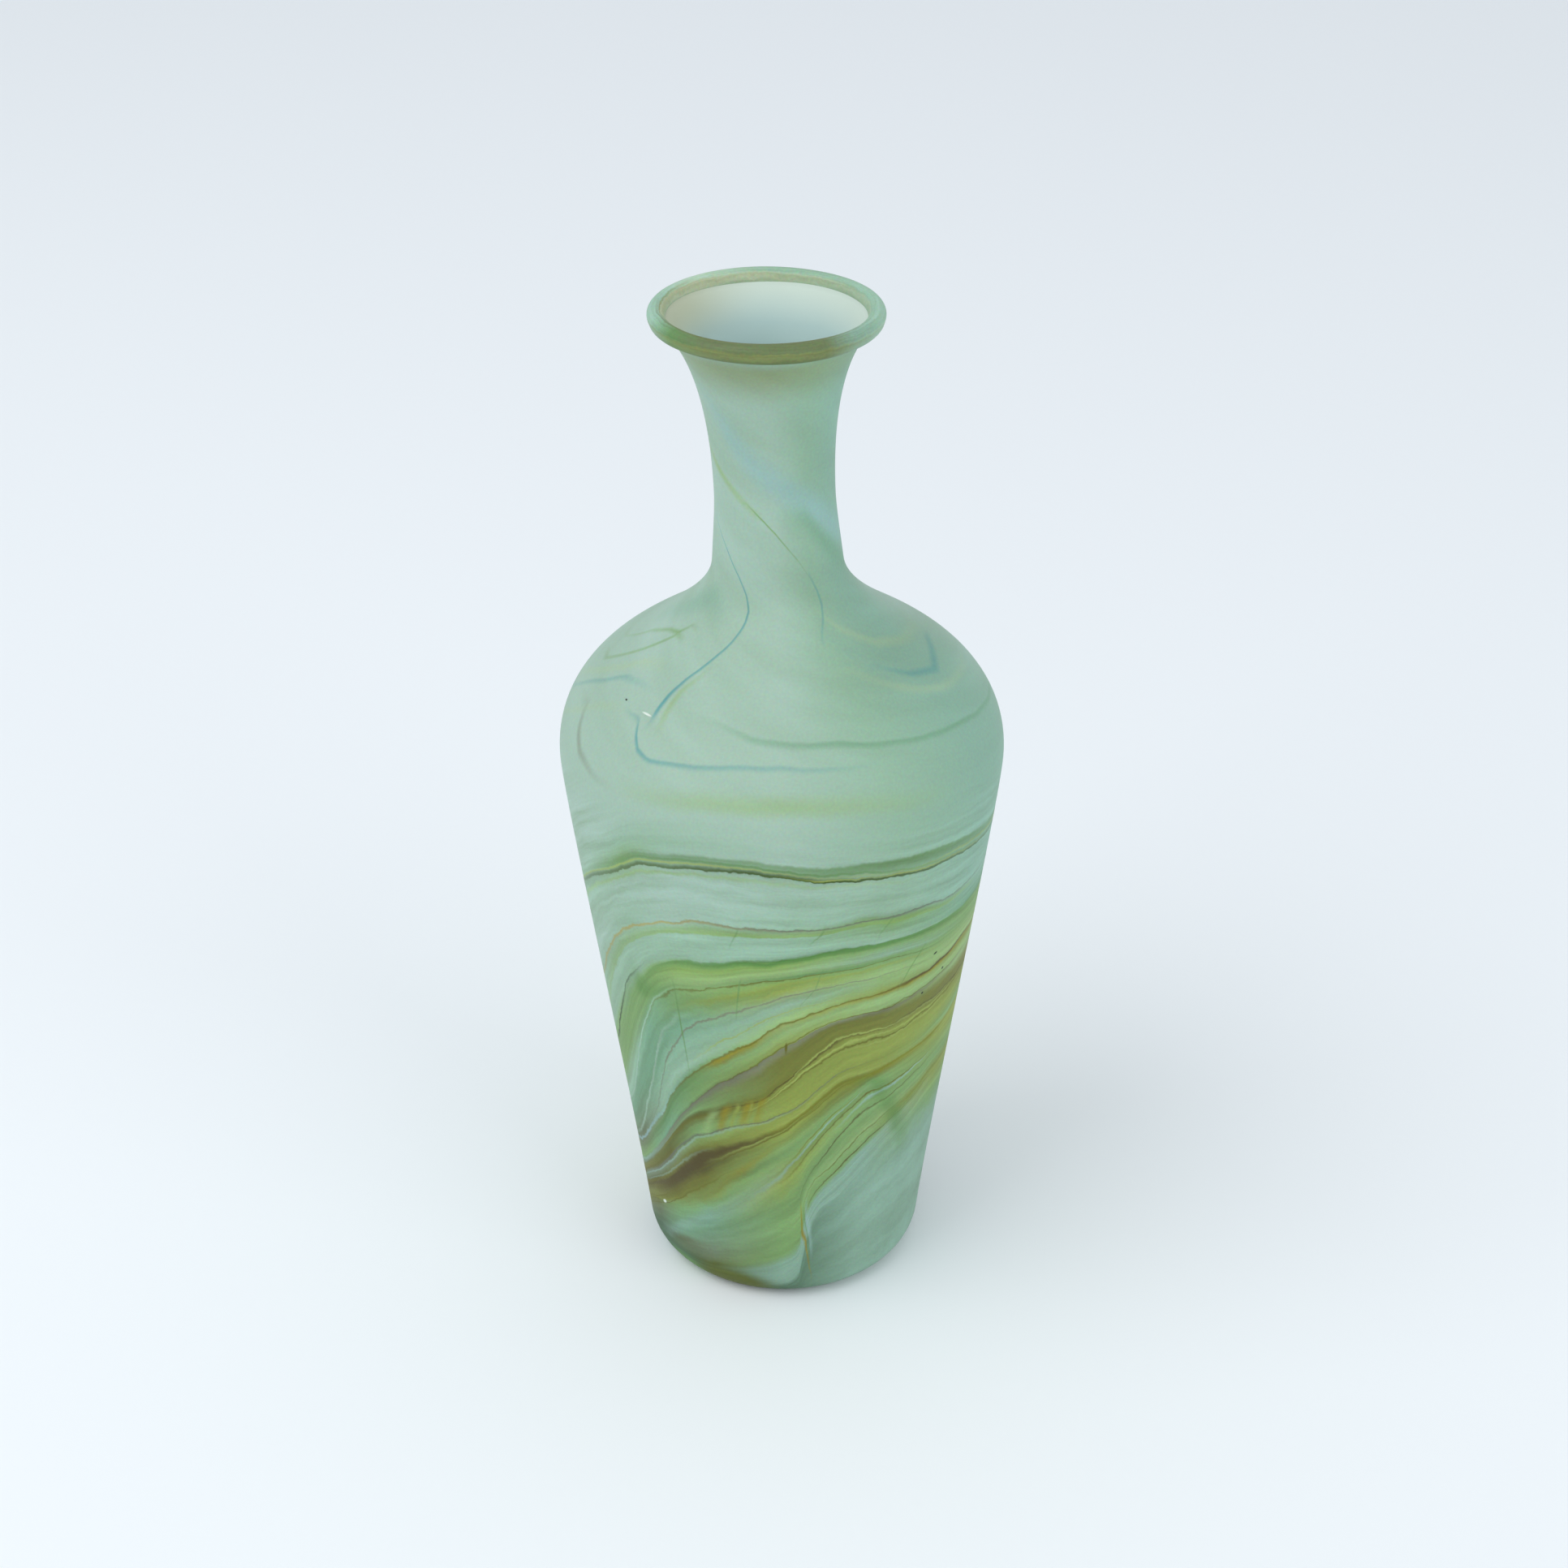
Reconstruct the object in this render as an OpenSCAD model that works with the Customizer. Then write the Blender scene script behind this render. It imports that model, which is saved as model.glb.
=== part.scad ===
// Hand-blown art glass vase: a frosted sea-green bubble with trails of coloured
// glass melted into its skin, a rolled lip and a punty scar under the foot.
// Millimetres, +Z up, origin at the centre of the ring that the vase stands on.

/* [Heights] */
// Table to the widest point of the body
taper_h = 142; // [110:1:170]
// Widest point to the root of the neck
shoulder_h = 44; // [36:1:54]
// Root of the neck to the top of the lip
neck_h = 64; // [50:1:78]

/* [Radii] */
// Outside of the foot, where the heel ends
foot_r = 34.1; // [28:0.1:42]
// Outside of the body at its widest
shoulder_r = 51.4; // [45:0.1:60]
// Outside of the neck where the shoulder has run into it
root_r = 14.7; // [12.5:0.1:18]
// Outside of the neck at its waist
waist_r = 13.4; // [11:0.1:17]
// Outside of the lip
lip_r = 25.6; // [21:0.1:32]

/* [Glass] */
// Wall of the body and shoulder
wall = 3; // [2.2:0.1:4]
// Wall of the neck and the flare
neck_wall = 2; // [1.6:0.1:2.4]
// Floor at its middle, above the push-up
floor_t = 4; // [3:0.1:6]

/* [Foot] */
// Radius of the rounded heel
heel_r = 7; // [4:0.1:9]
// Width of the ring that touches the table
rest_w = 5; // [3:0.1:7]
// Height of the push-up under the foot
push_up = 5.5; // [3:0.1:8]
// Radius of the punty scar
scar_r = 8; // [5:0.1:11]
// Glass that the punty left standing below the push-up
scar_t = 1.4; // [0.8:0.1:2.2]

/* [Lip] */
// Thickness of the rolled lip
lip_t = 3.9; // [3.4:0.1:4.8]
// Height of the rolled lip along its own lean
lip_band = 4.6; // [4.2:0.1:7]
// Lean of the lip away from upright
lip_lean = 17; // [5:1:35]
// Lean of the flare's wall where it runs into the lip
flare_lean = 49; // [35:1:60]

/* [Trails] */
// Depth of the coloured trails in the skin
trail_d = 0.8; // [0.4:0.1:1.4]
// Scale on the width of every trail
trail_w = 1; // [0.7:0.05:1.2]

/* [Hidden] */

$fn = 96;
root_z = taper_h + shoulder_h;
vase_h = root_z + neck_h;
sections = [0, taper_h, root_z, vase_h];

// Points on each curve of the outline, and steps between two points of a trail's route
curve_steps = 14;
route_steps = 2;
// A trail's cutter starts this far outside the glass and goes this far past the pocket's floor
clear_out = 1.5;
clear_in = 1;
// The punty scar narrows by this much towards its broken face
scar_taper = 1.2;

sea_green = [0.63, 0.77, 0.71];
rim_green = [0.46, 0.55, 0.40];
olive = [0.47, 0.53, 0.25];
fawn = [0.60, 0.60, 0.42];
moss = [0.47, 0.62, 0.38];
umber = [0.43, 0.39, 0.20];
amber = [0.62, 0.60, 0.26];
milk = [0.74, 0.83, 0.76];
blue = [0.41, 0.62, 0.65];
straw = [0.66, 0.74, 0.50];

// ---- Curves ----

function bezier(a, b, c, d, u) =
    pow(1 - u, 3) * a + 3 * u * pow(1 - u, 2) * b + 3 * u * u * (1 - u) * c + u * u * u * d;

// All but the last point of one curve, so that curves join with no point twice
function curve(a, b, c, d, n = curve_steps) = [for (i = [0 : n - 1]) bezier(a, b, c, d, i / n)];

function arc(centre, r, from, to, n) =
    [for (i = [0 : n - 1]) let (a = from + (to - from) * i / n) centre + r * [cos(a), sin(a)]];

// ---- Lip section ----

lip_half = lip_t / 2;
lip_dir = [sin(lip_lean), cos(lip_lean)];
lip_top = [lip_r - lip_half, vase_h - lip_half];
lip_low = lip_top - (lip_band - lip_t) * lip_dir;

// The flare's wall runs a little way into the roll, nearer its inner side
flare_dir = [sin(flare_lean), cos(flare_lean)];
flare_across = [flare_dir[1], -flare_dir[0]];
flare_end = lip_low + 0.2 * lip_half * flare_dir;
flare_out = flare_end + (neck_wall / 2 - 0.25 * lip_half) * flare_across;
flare_in = flare_out - neck_wall * flare_across;

// ---- Outline of the outside, as [radius, height] ----

taper_lean = 6;
heel_centre = [foot_r - heel_r, heel_r];
taper_start = heel_centre + heel_r * [cos(taper_lean), -sin(taper_lean)];
widest = [shoulder_r, taper_h];
turn = [root_r + 0.43 * (shoulder_r - root_r), taper_h + 0.64 * shoulder_h];
turn_dir = [-0.8, 0.6];
neck_foot = [root_r, root_z + 0.055 * neck_h];
neck_foot_reach = [0.4, -0.072 * neck_h];
waist = [waist_r, root_z + 0.33 * neck_h];

outside_heel = arc(heel_centre, heel_r, -90, -taper_lean, 8);
outside_taper = curve(
    taper_start,
    taper_start + 0.244 * taper_h * [tan(taper_lean), 1],
    widest - [0, 0.066 * taper_h],
    widest);
outside_shoulder = curve(
    widest,
    widest + [0, 0.35 * shoulder_h],
    turn - 0.23 * shoulder_h * turn_dir,
    turn);
outside_root = curve(
    turn,
    turn + 0.347 * shoulder_h * turn_dir,
    neck_foot + neck_foot_reach,
    neck_foot);
outside_neck = curve(
    neck_foot,
    neck_foot - 1.5 * neck_foot_reach,
    waist - [0, 0.08 * neck_h],
    waist,
    8);
outside_flare = curve(
    waist,
    waist + [0, 0.5 * neck_h],
    flare_out - 0.03 * neck_h * flare_dir,
    flare_out);

outside = concat(outside_heel, outside_taper, outside_shoulder, outside_root, outside_neck,
                 outside_flare, [flare_out]);

// Radius of the outside at a height, and the glass normal there as [radius, height]
outside_table = [for (p = outside) [p[1], p[0]]];
function outside_r(z) = lookup(z, outside_table);
function normal_at(z, e = 0.8) =
    let (slope = (outside_r(z + e) - outside_r(z - e)) / (2 * e)) [1, -slope] / norm([1, slope]);

// A wall that thins smoothly from the body to the neck
function wall_at(z) = lookup(z, [[taper_h, wall], [root_z, neck_wall]]);
function inset(p, depth) = p - depth * normal_at(p[1]);

// ---- Outline of the hollow ----

rest_inner_r = foot_r - heel_r - rest_w;
floor_z = push_up + floor_t;
gutter = [rest_inner_r + 1.5, floor_t + 2];
wall_start_z = floor_z + 7;
wall_end_z = vase_h - lip_band - neck_wall;
inside_wall = [for (p = outside) if (p[1] > wall_start_z && p[1] < wall_end_z) inset(p, wall_at(p[1]))];
inside_floor = concat(
    curve([0, floor_z], [rest_inner_r / 2, floor_z], gutter - [6, -0.4], gutter, 8),
    curve(gutter, gutter + [5, -0.4], inside_wall[0] - [0.6, 7], inside_wall[0], 8));
mouth_centre = [0, flare_end[1]];

// The wall of the neck and the flare, up the outside and down the inside
neck_section = concat(
    [for (p = outside) if (p[1] > root_z) p],
    [flare_in],
    [for (i = [len(inside_wall) - 1 : -1 : 0]) if (inside_wall[i][1] > root_z) inside_wall[i]]);

// ---- Bodies of revolution ----

module outer_form() {
    rotate_extrude() polygon(concat([[0, 0]], outside, [flare_in, mouth_centre]));
}

module hollow() {
    rotate_extrude() polygon(concat(inside_floor, inside_wall, [flare_in, mouth_centre]));
}

// Everything deeper than the trails
module trail_floor_form() {
    rotate_extrude() polygon(concat(
        [[0, trail_d]],
        [for (p = outside) if (p[1] > heel_r && p[1] < wall_end_z) inset(p, trail_d)],
        [[0, vase_h]]));
}

module push_up_hollow() {
    dome_r = (pow(rest_inner_r, 2) + pow(push_up, 2)) / (2 * push_up);
    translate([0, 0, push_up - dome_r]) sphere(r = dome_r, $fn = 180);
}

// ---- Trails ----
// A route is a list of [angle, mark, width]. The angle is in degrees, 0 at the front and
// 90 at +X. A mark says how far up the outside a point lies: 0 to 100 from the table to the
// widest point, 100 to 200 up the shoulder, 200 to 300 up the neck. The width is in mm.

full_turn = [360, 0, 0];

function height_of(mark) =
    let (i = min(2, floor(mark / 100)), u = mark / 100 - i) sections[i] + u * (sections[i + 1] - sections[i]);

function catmull(a, b, c, d, u) =
    0.5 * (2 * b + (c - a) * u + (2 * a - 5 * b + 4 * c - d) * u * u + (3 * b - a - 3 * c + d) * u * u * u);

function smooth_route(p, closed) =
    let (n = len(p), last = closed ? n - 1 : n - 2)
    concat(
        [for (i = [0 : last], k = [0 : route_steps - 1])
            let (
                a = i > 0 ? p[i - 1] : closed ? p[n - 1] - full_turn : 2 * p[0] - p[1],
                b = p[i],
                c = i < n - 1 ? p[i + 1] : p[0] + full_turn,
                d = i < n - 2 ? p[i + 2] : closed ? p[i + 2 - n] + full_turn : 2 * c - b
            ) catmull(a, b, c, d, k / route_steps)],
        closed ? [] : [p[n - 1]]);

// A point beside the outside, off it by depth along the glass normal
function on_skin(angle, z, off) =
    let (n = normal_at(z), r = outside_r(z) + off * n[0])
    [r * sin(angle), -r * cos(angle), z + off * n[1]];

// The four corners of a trail's cutter at one point of its route, square to the way it runs
function station(prev, here, next) =
    let (
        z = height_of(here[1]), r = outside_r(z), n = normal_at(z),
        along = (next[0] - prev[0]) * PI / 180 * r,
        up = (height_of(next[1]) - height_of(prev[1])) / n[0],
        half = here[2] * trail_w / 2 / norm([along, up]),
        da = up * half / r * 180 / PI, dz = along * half * n[0]
    )
    [on_skin(here[0] + da, z - dz, -trail_d - clear_in), on_skin(here[0] + da, z - dz, clear_out),
     on_skin(here[0] - da, z + dz, clear_out), on_skin(here[0] - da, z + dz, -trail_d - clear_in)];

module cutter(route, closed = false) {
    p = smooth_route(route, closed);
    n = len(p);
    points = [for (i = [0 : n - 1]) each station(
        i > 0 ? p[i - 1] : closed ? p[n - 1] - full_turn : p[0],
        p[i],
        i < n - 1 ? p[i + 1] : closed ? p[0] + full_turn : p[i])];
    sides = [for (i = [0 : closed ? n - 1 : n - 2], k = [0 : 3])
        let (here = 4 * i, next = 4 * ((i + 1) % n), l = (k + 1) % 4)
        each [[here + k, here + l, next + l], [here + k, next + l, next + k]]];
    e = 4 * (n - 1);
    ends = closed ? [] : [[2, 1, 0], [3, 2, 0], [e, e + 1, e + 2], [e, e + 2, e + 3]];
    polyhedron(points = points, faces = concat(sides, ends), convexity = 10);
}

// The coloured glass itself: what of the skin lies inside the cutter
module trail(route, closed = false) {
    intersection() {
        difference() {
            outer_form();
            trail_floor_form();
        }
        cutter(route, closed);
    }
}

// The pocket that it fills in the body
module pocket(route, closed = false) {
    difference() {
        cutter(route, closed);
        trail_floor_form();
    }
}

olive_ring_route = [
    [-90, 72, 1.4], [-60, 85.5, 1.6], [-30, 96.5, 2.2], [0, 97.5, 2.4], [30, 95, 4.6], [60, 92, 3.6],
    [90, 89, 2.4], [120, 85, 2], [150, 79.5, 1.8], [180, 74, 1.6], [210, 70, 1.4], [240, 68.5, 1.4]];
fawn_thread_route = [
    [-60, 73.5, 0.8], [-45, 80.5, 1], [-30, 85, 1.1], [-15, 86.5, 1.1], [0, 86, 1.1], [20, 86.5, 1.1],
    [40, 84.8, 1], [60, 83.5, 1], [80, 81.5, 0.8]];
moss_thread_route = [
    [-42, 71.5, 0.8], [-30, 76.4, 1], [-15, 78.3, 1.1], [0, 80.2, 1.1], [15, 81, 1.1], [35, 80.5, 1],
    [60, 78.8, 1], [85, 77, 0.9], [110, 72.5, 0.8]];
umber_thread_route = [
    [-32, 70.4, 0.7], [-20, 73, 0.7], [-8, 74.7, 0.7], [2, 76.6, 0.8], [15, 77.1, 0.8], [30, 77, 0.7],
    [45, 75.9, 0.7], [60, 75, 0.7]];
amber_thread_route = [
    [-60, 28, 0.8], [-45, 38.5, 1], [-30, 51.8, 1], [-15, 59, 1.2], [0, 66, 1], [12, 69.4, 1.2],
    [28, 69.8, 1], [45, 70.3, 1.4], [60, 71.1, 1.7], [80, 70, 1.2]];
umber_band_route = [
    [-72, 16.5, 2], [-60, 21, 4], [-45, 30.5, 6], [-30, 41, 7], [-15, 49.5, 7], [0, 57.2, 8],
    [12, 62, 7.6], [28, 62.8, 8], [45, 63.8, 7], [60, 64.8, 6], [78, 64.5, 5], [95, 62, 4.5],
    [115, 57, 4], [140, 48.5, 3], [165, 40, 2]];
amber_band_route = [
    [-70, 12, 2.2], [-60, 15.8, 3.6], [-45, 23, 5.6], [-30, 31.4, 6], [-15, 37.6, 5], [0, 43, 4.6],
    [12, 48, 4], [26, 52.2, 3.2], [42, 53.2, 2.6], [60, 54.6, 2.6], [80, 56, 1.8]];
upper_fan_route = [
    [-30, 19, 0.8], [-15, 24.5, 1], [0, 31.5, 1.2], [12, 37, 1.2], [24, 41.6, 1.2], [38, 45.4, 1.2],
    [55, 48.6, 1]];
lower_fan_route = [
    [-14, 17, 0.8], [0, 25.5, 1], [12, 31.8, 1.2], [24, 37.2, 1.4], [38, 42, 1.6], [55, 45.4, 1.2]];
hook_thread_route = [
    [8, 14, 0.8], [7.2, 18, 1], [7.4, 22, 1.1], [10, 26.4, 1.1], [18, 31, 1.1], [30, 36.4, 1.2],
    [44, 40, 1], [60, 43, 0.8]];
fold_thread_route = [
    [-78, 41, 0.8], [-72, 46.5, 1], [-66, 52.5, 1], [-60, 57.8, 1.2], [-55, 63.6, 1], [-50, 67.5, 0.8]];
milk_thread_route = [
    [-67, 34, 1], [-61, 41, 1.2], [-56, 48, 1.4], [-51, 56, 1.4], [-45, 63.5, 1]];
blue_thread_route = [
    [-62, 223, 0.8], [-48, 215, 0.9], [-36, 207, 1], [-27, 198, 1.2], [-25, 191, 1.2], [-30, 182, 1.3],
    [-39, 171, 1.6], [-46, 161, 1.6], [-49, 151, 1.2], [-46, 141, 1.2], [-36, 137, 0.8]];
straw_thread_route = [
    [-62, 248, 1], [-42, 241.5, 1.4], [-22, 234, 1.2], [-4, 226.5, 1], [12, 218, 0.8], [24, 208, 0.6]];

open_routes = [fawn_thread_route, moss_thread_route, umber_thread_route, amber_thread_route,
               umber_band_route, amber_band_route, upper_fan_route, lower_fan_route,
               hook_thread_route, fold_thread_route, milk_thread_route, blue_thread_route,
               straw_thread_route];

// ---- Sub-parts ----

module glass_body() {
    color(sea_green) difference() {
        outer_form();
        hollow();
        push_up_hollow();
        pocket(olive_ring_route, true);
        for (route = open_routes) pocket(route);
    }
}

// A roll of glass around the edge of the flare, which runs into it
module lip_roll() {
    color(rim_green) rotate_extrude() difference() {
        union() {
            for (c = [lip_low, lip_top]) translate(c) circle(r = lip_half);
            translate(lip_low) rotate(-lip_lean) translate([-lip_half, 0]) square([lip_t, lip_band - lip_t]);
        }
        polygon(neck_section);
    }
}

module punty_scar() {
    color(sea_green) intersection() {
        push_up_hollow();
        translate([0, 0, push_up - scar_t]) cylinder(r1 = scar_r - scar_taper, r2 = scar_r, h = scar_t);
    }
}

// The coloured trails: those of the body from the top down, then those of the shoulder and neck
module olive_ring() color(olive) trail(olive_ring_route, true);
module fawn_thread() color(fawn) trail(fawn_thread_route);
module moss_thread() color(moss) trail(moss_thread_route);
module umber_thread() color(umber) trail(umber_thread_route);
module amber_thread() color(amber) trail(amber_thread_route);
module umber_band() color(umber) trail(umber_band_route);
module amber_band() color(amber) trail(amber_band_route);
module upper_fan() color(amber) trail(upper_fan_route);
module lower_fan() color(amber) trail(lower_fan_route);
module hook_thread() color(amber) trail(hook_thread_route);
module fold_thread() color(umber) trail(fold_thread_route);
module milk_thread() color(milk) trail(milk_thread_route);
module blue_thread() color(blue) trail(blue_thread_route);
module straw_thread() color(straw) trail(straw_thread_route);

glass_body();
lip_roll();
punty_scar();
olive_ring();
fawn_thread();
moss_thread();
umber_thread();
amber_thread();
umber_band();
amber_band();
upper_fan();
lower_fan();
hook_thread();
fold_thread();
milk_thread();
blue_thread();
straw_thread();
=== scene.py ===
"""A hand-blown art glass vase: frosted sea-green glass with trails of colour swept round its body."""

import math

import bpy
import numpy as np
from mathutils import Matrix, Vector


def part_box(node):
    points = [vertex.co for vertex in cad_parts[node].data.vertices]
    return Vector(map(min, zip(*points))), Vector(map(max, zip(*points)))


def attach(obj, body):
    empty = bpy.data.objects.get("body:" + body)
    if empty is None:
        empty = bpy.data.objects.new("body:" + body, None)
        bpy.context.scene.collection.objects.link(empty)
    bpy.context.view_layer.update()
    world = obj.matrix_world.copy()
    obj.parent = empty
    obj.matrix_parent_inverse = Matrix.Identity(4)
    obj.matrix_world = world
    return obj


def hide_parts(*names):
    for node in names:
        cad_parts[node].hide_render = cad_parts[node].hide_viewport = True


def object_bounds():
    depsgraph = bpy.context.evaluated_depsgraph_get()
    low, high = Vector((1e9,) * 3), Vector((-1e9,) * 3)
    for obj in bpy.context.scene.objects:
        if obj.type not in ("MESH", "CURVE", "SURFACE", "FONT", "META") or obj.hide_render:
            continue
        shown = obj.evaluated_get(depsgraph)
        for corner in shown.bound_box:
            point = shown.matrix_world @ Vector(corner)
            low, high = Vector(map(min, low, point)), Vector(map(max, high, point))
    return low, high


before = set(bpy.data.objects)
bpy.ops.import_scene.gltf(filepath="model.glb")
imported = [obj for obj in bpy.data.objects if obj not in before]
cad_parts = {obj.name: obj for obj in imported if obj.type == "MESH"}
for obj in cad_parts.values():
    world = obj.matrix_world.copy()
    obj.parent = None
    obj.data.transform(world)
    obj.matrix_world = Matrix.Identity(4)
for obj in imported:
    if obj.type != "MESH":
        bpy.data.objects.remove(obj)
cad_low, cad_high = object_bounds()

MM = 0.001


def size_mm(node):
    low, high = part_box(node)
    return [(high[i] - low[i]) / MM for i in range(3)]


# ---- Driving dimensions, in millimetres, from the frame ----

HEIGHT = (cad_high[2] - cad_low[2]) / MM
SHOULDER_R = size_mm("glass_body")[0] / 2
LIP_R = size_mm("lip_roll")[0] / 2
TAPER_H = 0.568 * HEIGHT
ROOT_Z = 0.744 * HEIGHT
NECK_H = HEIGHT - ROOT_Z
SHOULDER_H = ROOT_Z - TAPER_H
FOOT_R = 0.6634 * SHOULDER_R
ROOT_R = 0.286 * SHOULDER_R
WAIST_R = 0.2607 * SHOULDER_R
HEEL_R = 7.0
REST_W = 5.0
PUSH_UP = 5.5
WALL = 3.0
NECK_WALL = 2.0
FLOOR_T = 4.0
LIP_HALF = 1.95
LIP_STRETCH = 0.7
LIP_BAND = 4.6
LIP_LEAN = 17
FLARE_LEAN = 49
TAPER_LEAN = 6


# ---- Curves ----


def bezier(a, b, c, d, steps):
    a, b, c, d = (np.array(p, float) for p in (a, b, c, d))
    u = np.arange(steps)[:, None] / steps
    return (1 - u) ** 3 * a + 3 * u * (1 - u) ** 2 * b + 3 * u**2 * (1 - u) * c + u**3 * d


def arc(centre, r, start, end, steps):
    a = np.radians(start + (end - start) * np.arange(steps) / steps)
    return np.array(centre) + r * np.stack([np.cos(a), np.sin(a)], 1)


def toward(degrees):
    """The direction that leans out from the vertical by this angle, as [radius, height]."""
    return np.array([math.sin(math.radians(degrees)), math.cos(math.radians(degrees))])


def smoothstep(x, low, high):
    t = np.clip((np.asarray(x, float) - low) / (high - low), 0, 1)
    return t * t * (3 - 2 * t)


# ---- Outline of the outside, as [radius, height] ----
# Six curves run from the heel to the lip. The shares of the part heights are how far the
# handles of each curve reach.

lip_dir = toward(LIP_LEAN)
lip_top = np.array([LIP_R - LIP_HALF, HEIGHT - LIP_HALF])
lip_low = lip_top - LIP_STRETCH * lip_dir
flare_dir = toward(FLARE_LEAN)
flare_across = np.array([flare_dir[1], -flare_dir[0]])
flare_out = lip_low + 0.2 * LIP_HALF * flare_dir + (NECK_WALL / 2 - 0.25 * LIP_HALF) * flare_across
flare_in = flare_out - NECK_WALL * flare_across

heel_centre = np.array([FOOT_R - HEEL_R, HEEL_R])
lean = math.radians(TAPER_LEAN)
taper_start = heel_centre + HEEL_R * np.array([math.cos(lean), -math.sin(lean)])
widest = np.array([SHOULDER_R, TAPER_H])
turn = np.array([ROOT_R + 0.43 * (SHOULDER_R - ROOT_R), TAPER_H + 0.64 * SHOULDER_H])
turn_dir = np.array([-0.8, 0.6])
neck_foot = np.array([ROOT_R, ROOT_Z + 0.055 * NECK_H])
neck_foot_reach = np.array([0.4, -0.072 * NECK_H])
waist = np.array([WAIST_R, ROOT_Z + 0.33 * NECK_H])

outside = np.vstack([
    arc(heel_centre, HEEL_R, -90, -TAPER_LEAN, 10),
    bezier(taper_start, taper_start + 0.244 * TAPER_H * np.array([math.tan(lean), 1]),
           widest - [0, 0.066 * TAPER_H], widest, 100),
    bezier(widest, widest + [0, 0.35 * SHOULDER_H], turn - 0.23 * SHOULDER_H * turn_dir, turn, 36),
    bezier(turn, turn + 0.347 * SHOULDER_H * turn_dir, neck_foot + neck_foot_reach, neck_foot, 30),
    bezier(neck_foot, neck_foot - 1.5 * neck_foot_reach, waist - [0, 0.08 * NECK_H], waist, 14),
    bezier(waist, waist + [0, 0.5 * NECK_H], flare_out - 0.03 * NECK_H * flare_dir, flare_out, 40),
    [flare_out],
])


SLOPE_REACH = 0.8


def outside_r(z):
    return np.interp(z, outside[:, 1], outside[:, 0])


def outside_normal(z):
    """The glass normal at height z as (radial part, upward part)."""
    slope = (outside_r(z + SLOPE_REACH) - outside_r(z - SLOPE_REACH)) / (2 * SLOPE_REACH)
    length = np.sqrt(1 + slope**2)
    return 1 / length, -slope / length


def inset(z, depth):
    n_r, n_z = outside_normal(z)
    return np.stack([outside_r(z) - depth * n_r, z - depth * n_z], -1)


# ---- Hand-blown deviations: the neck leans a little to -X and its mouth tips back ----

BODY_LEAN = 0.6
NECK_LEAN = 2.9
LEAN_FROM_Z, LEAN_RISE = 170, 80
RIM_TIP = 0.045
TIP_FROM_Z, TIP_TO_Z = 190, 240


def shape(p):
    """Points of the true body of revolution (millimetres) as the glass really came out."""
    x, y, z = p[..., 0], p[..., 1], p[..., 2]
    up_neck = np.clip((z - LEAN_FROM_Z) / LEAN_RISE, 0, 1)
    shift = -BODY_LEAN * z / LEAN_FROM_Z - NECK_LEAN * up_neck
    tip = -RIM_TIP * y * smoothstep(z, TIP_FROM_Z, TIP_TO_Z)
    return np.stack([x + shift, y, z + tip], -1)


# ---- Flow of the colour ----
# The trails lie along lines that run right round the vase, each a closed loop of
# (angle, height) points: angle 0 faces the viewer, 90 is +X, heights in millimetres.
# "flow" is a number that grows from line to line up the body, so a thread of colour
# lies where flow has one value.

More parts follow.
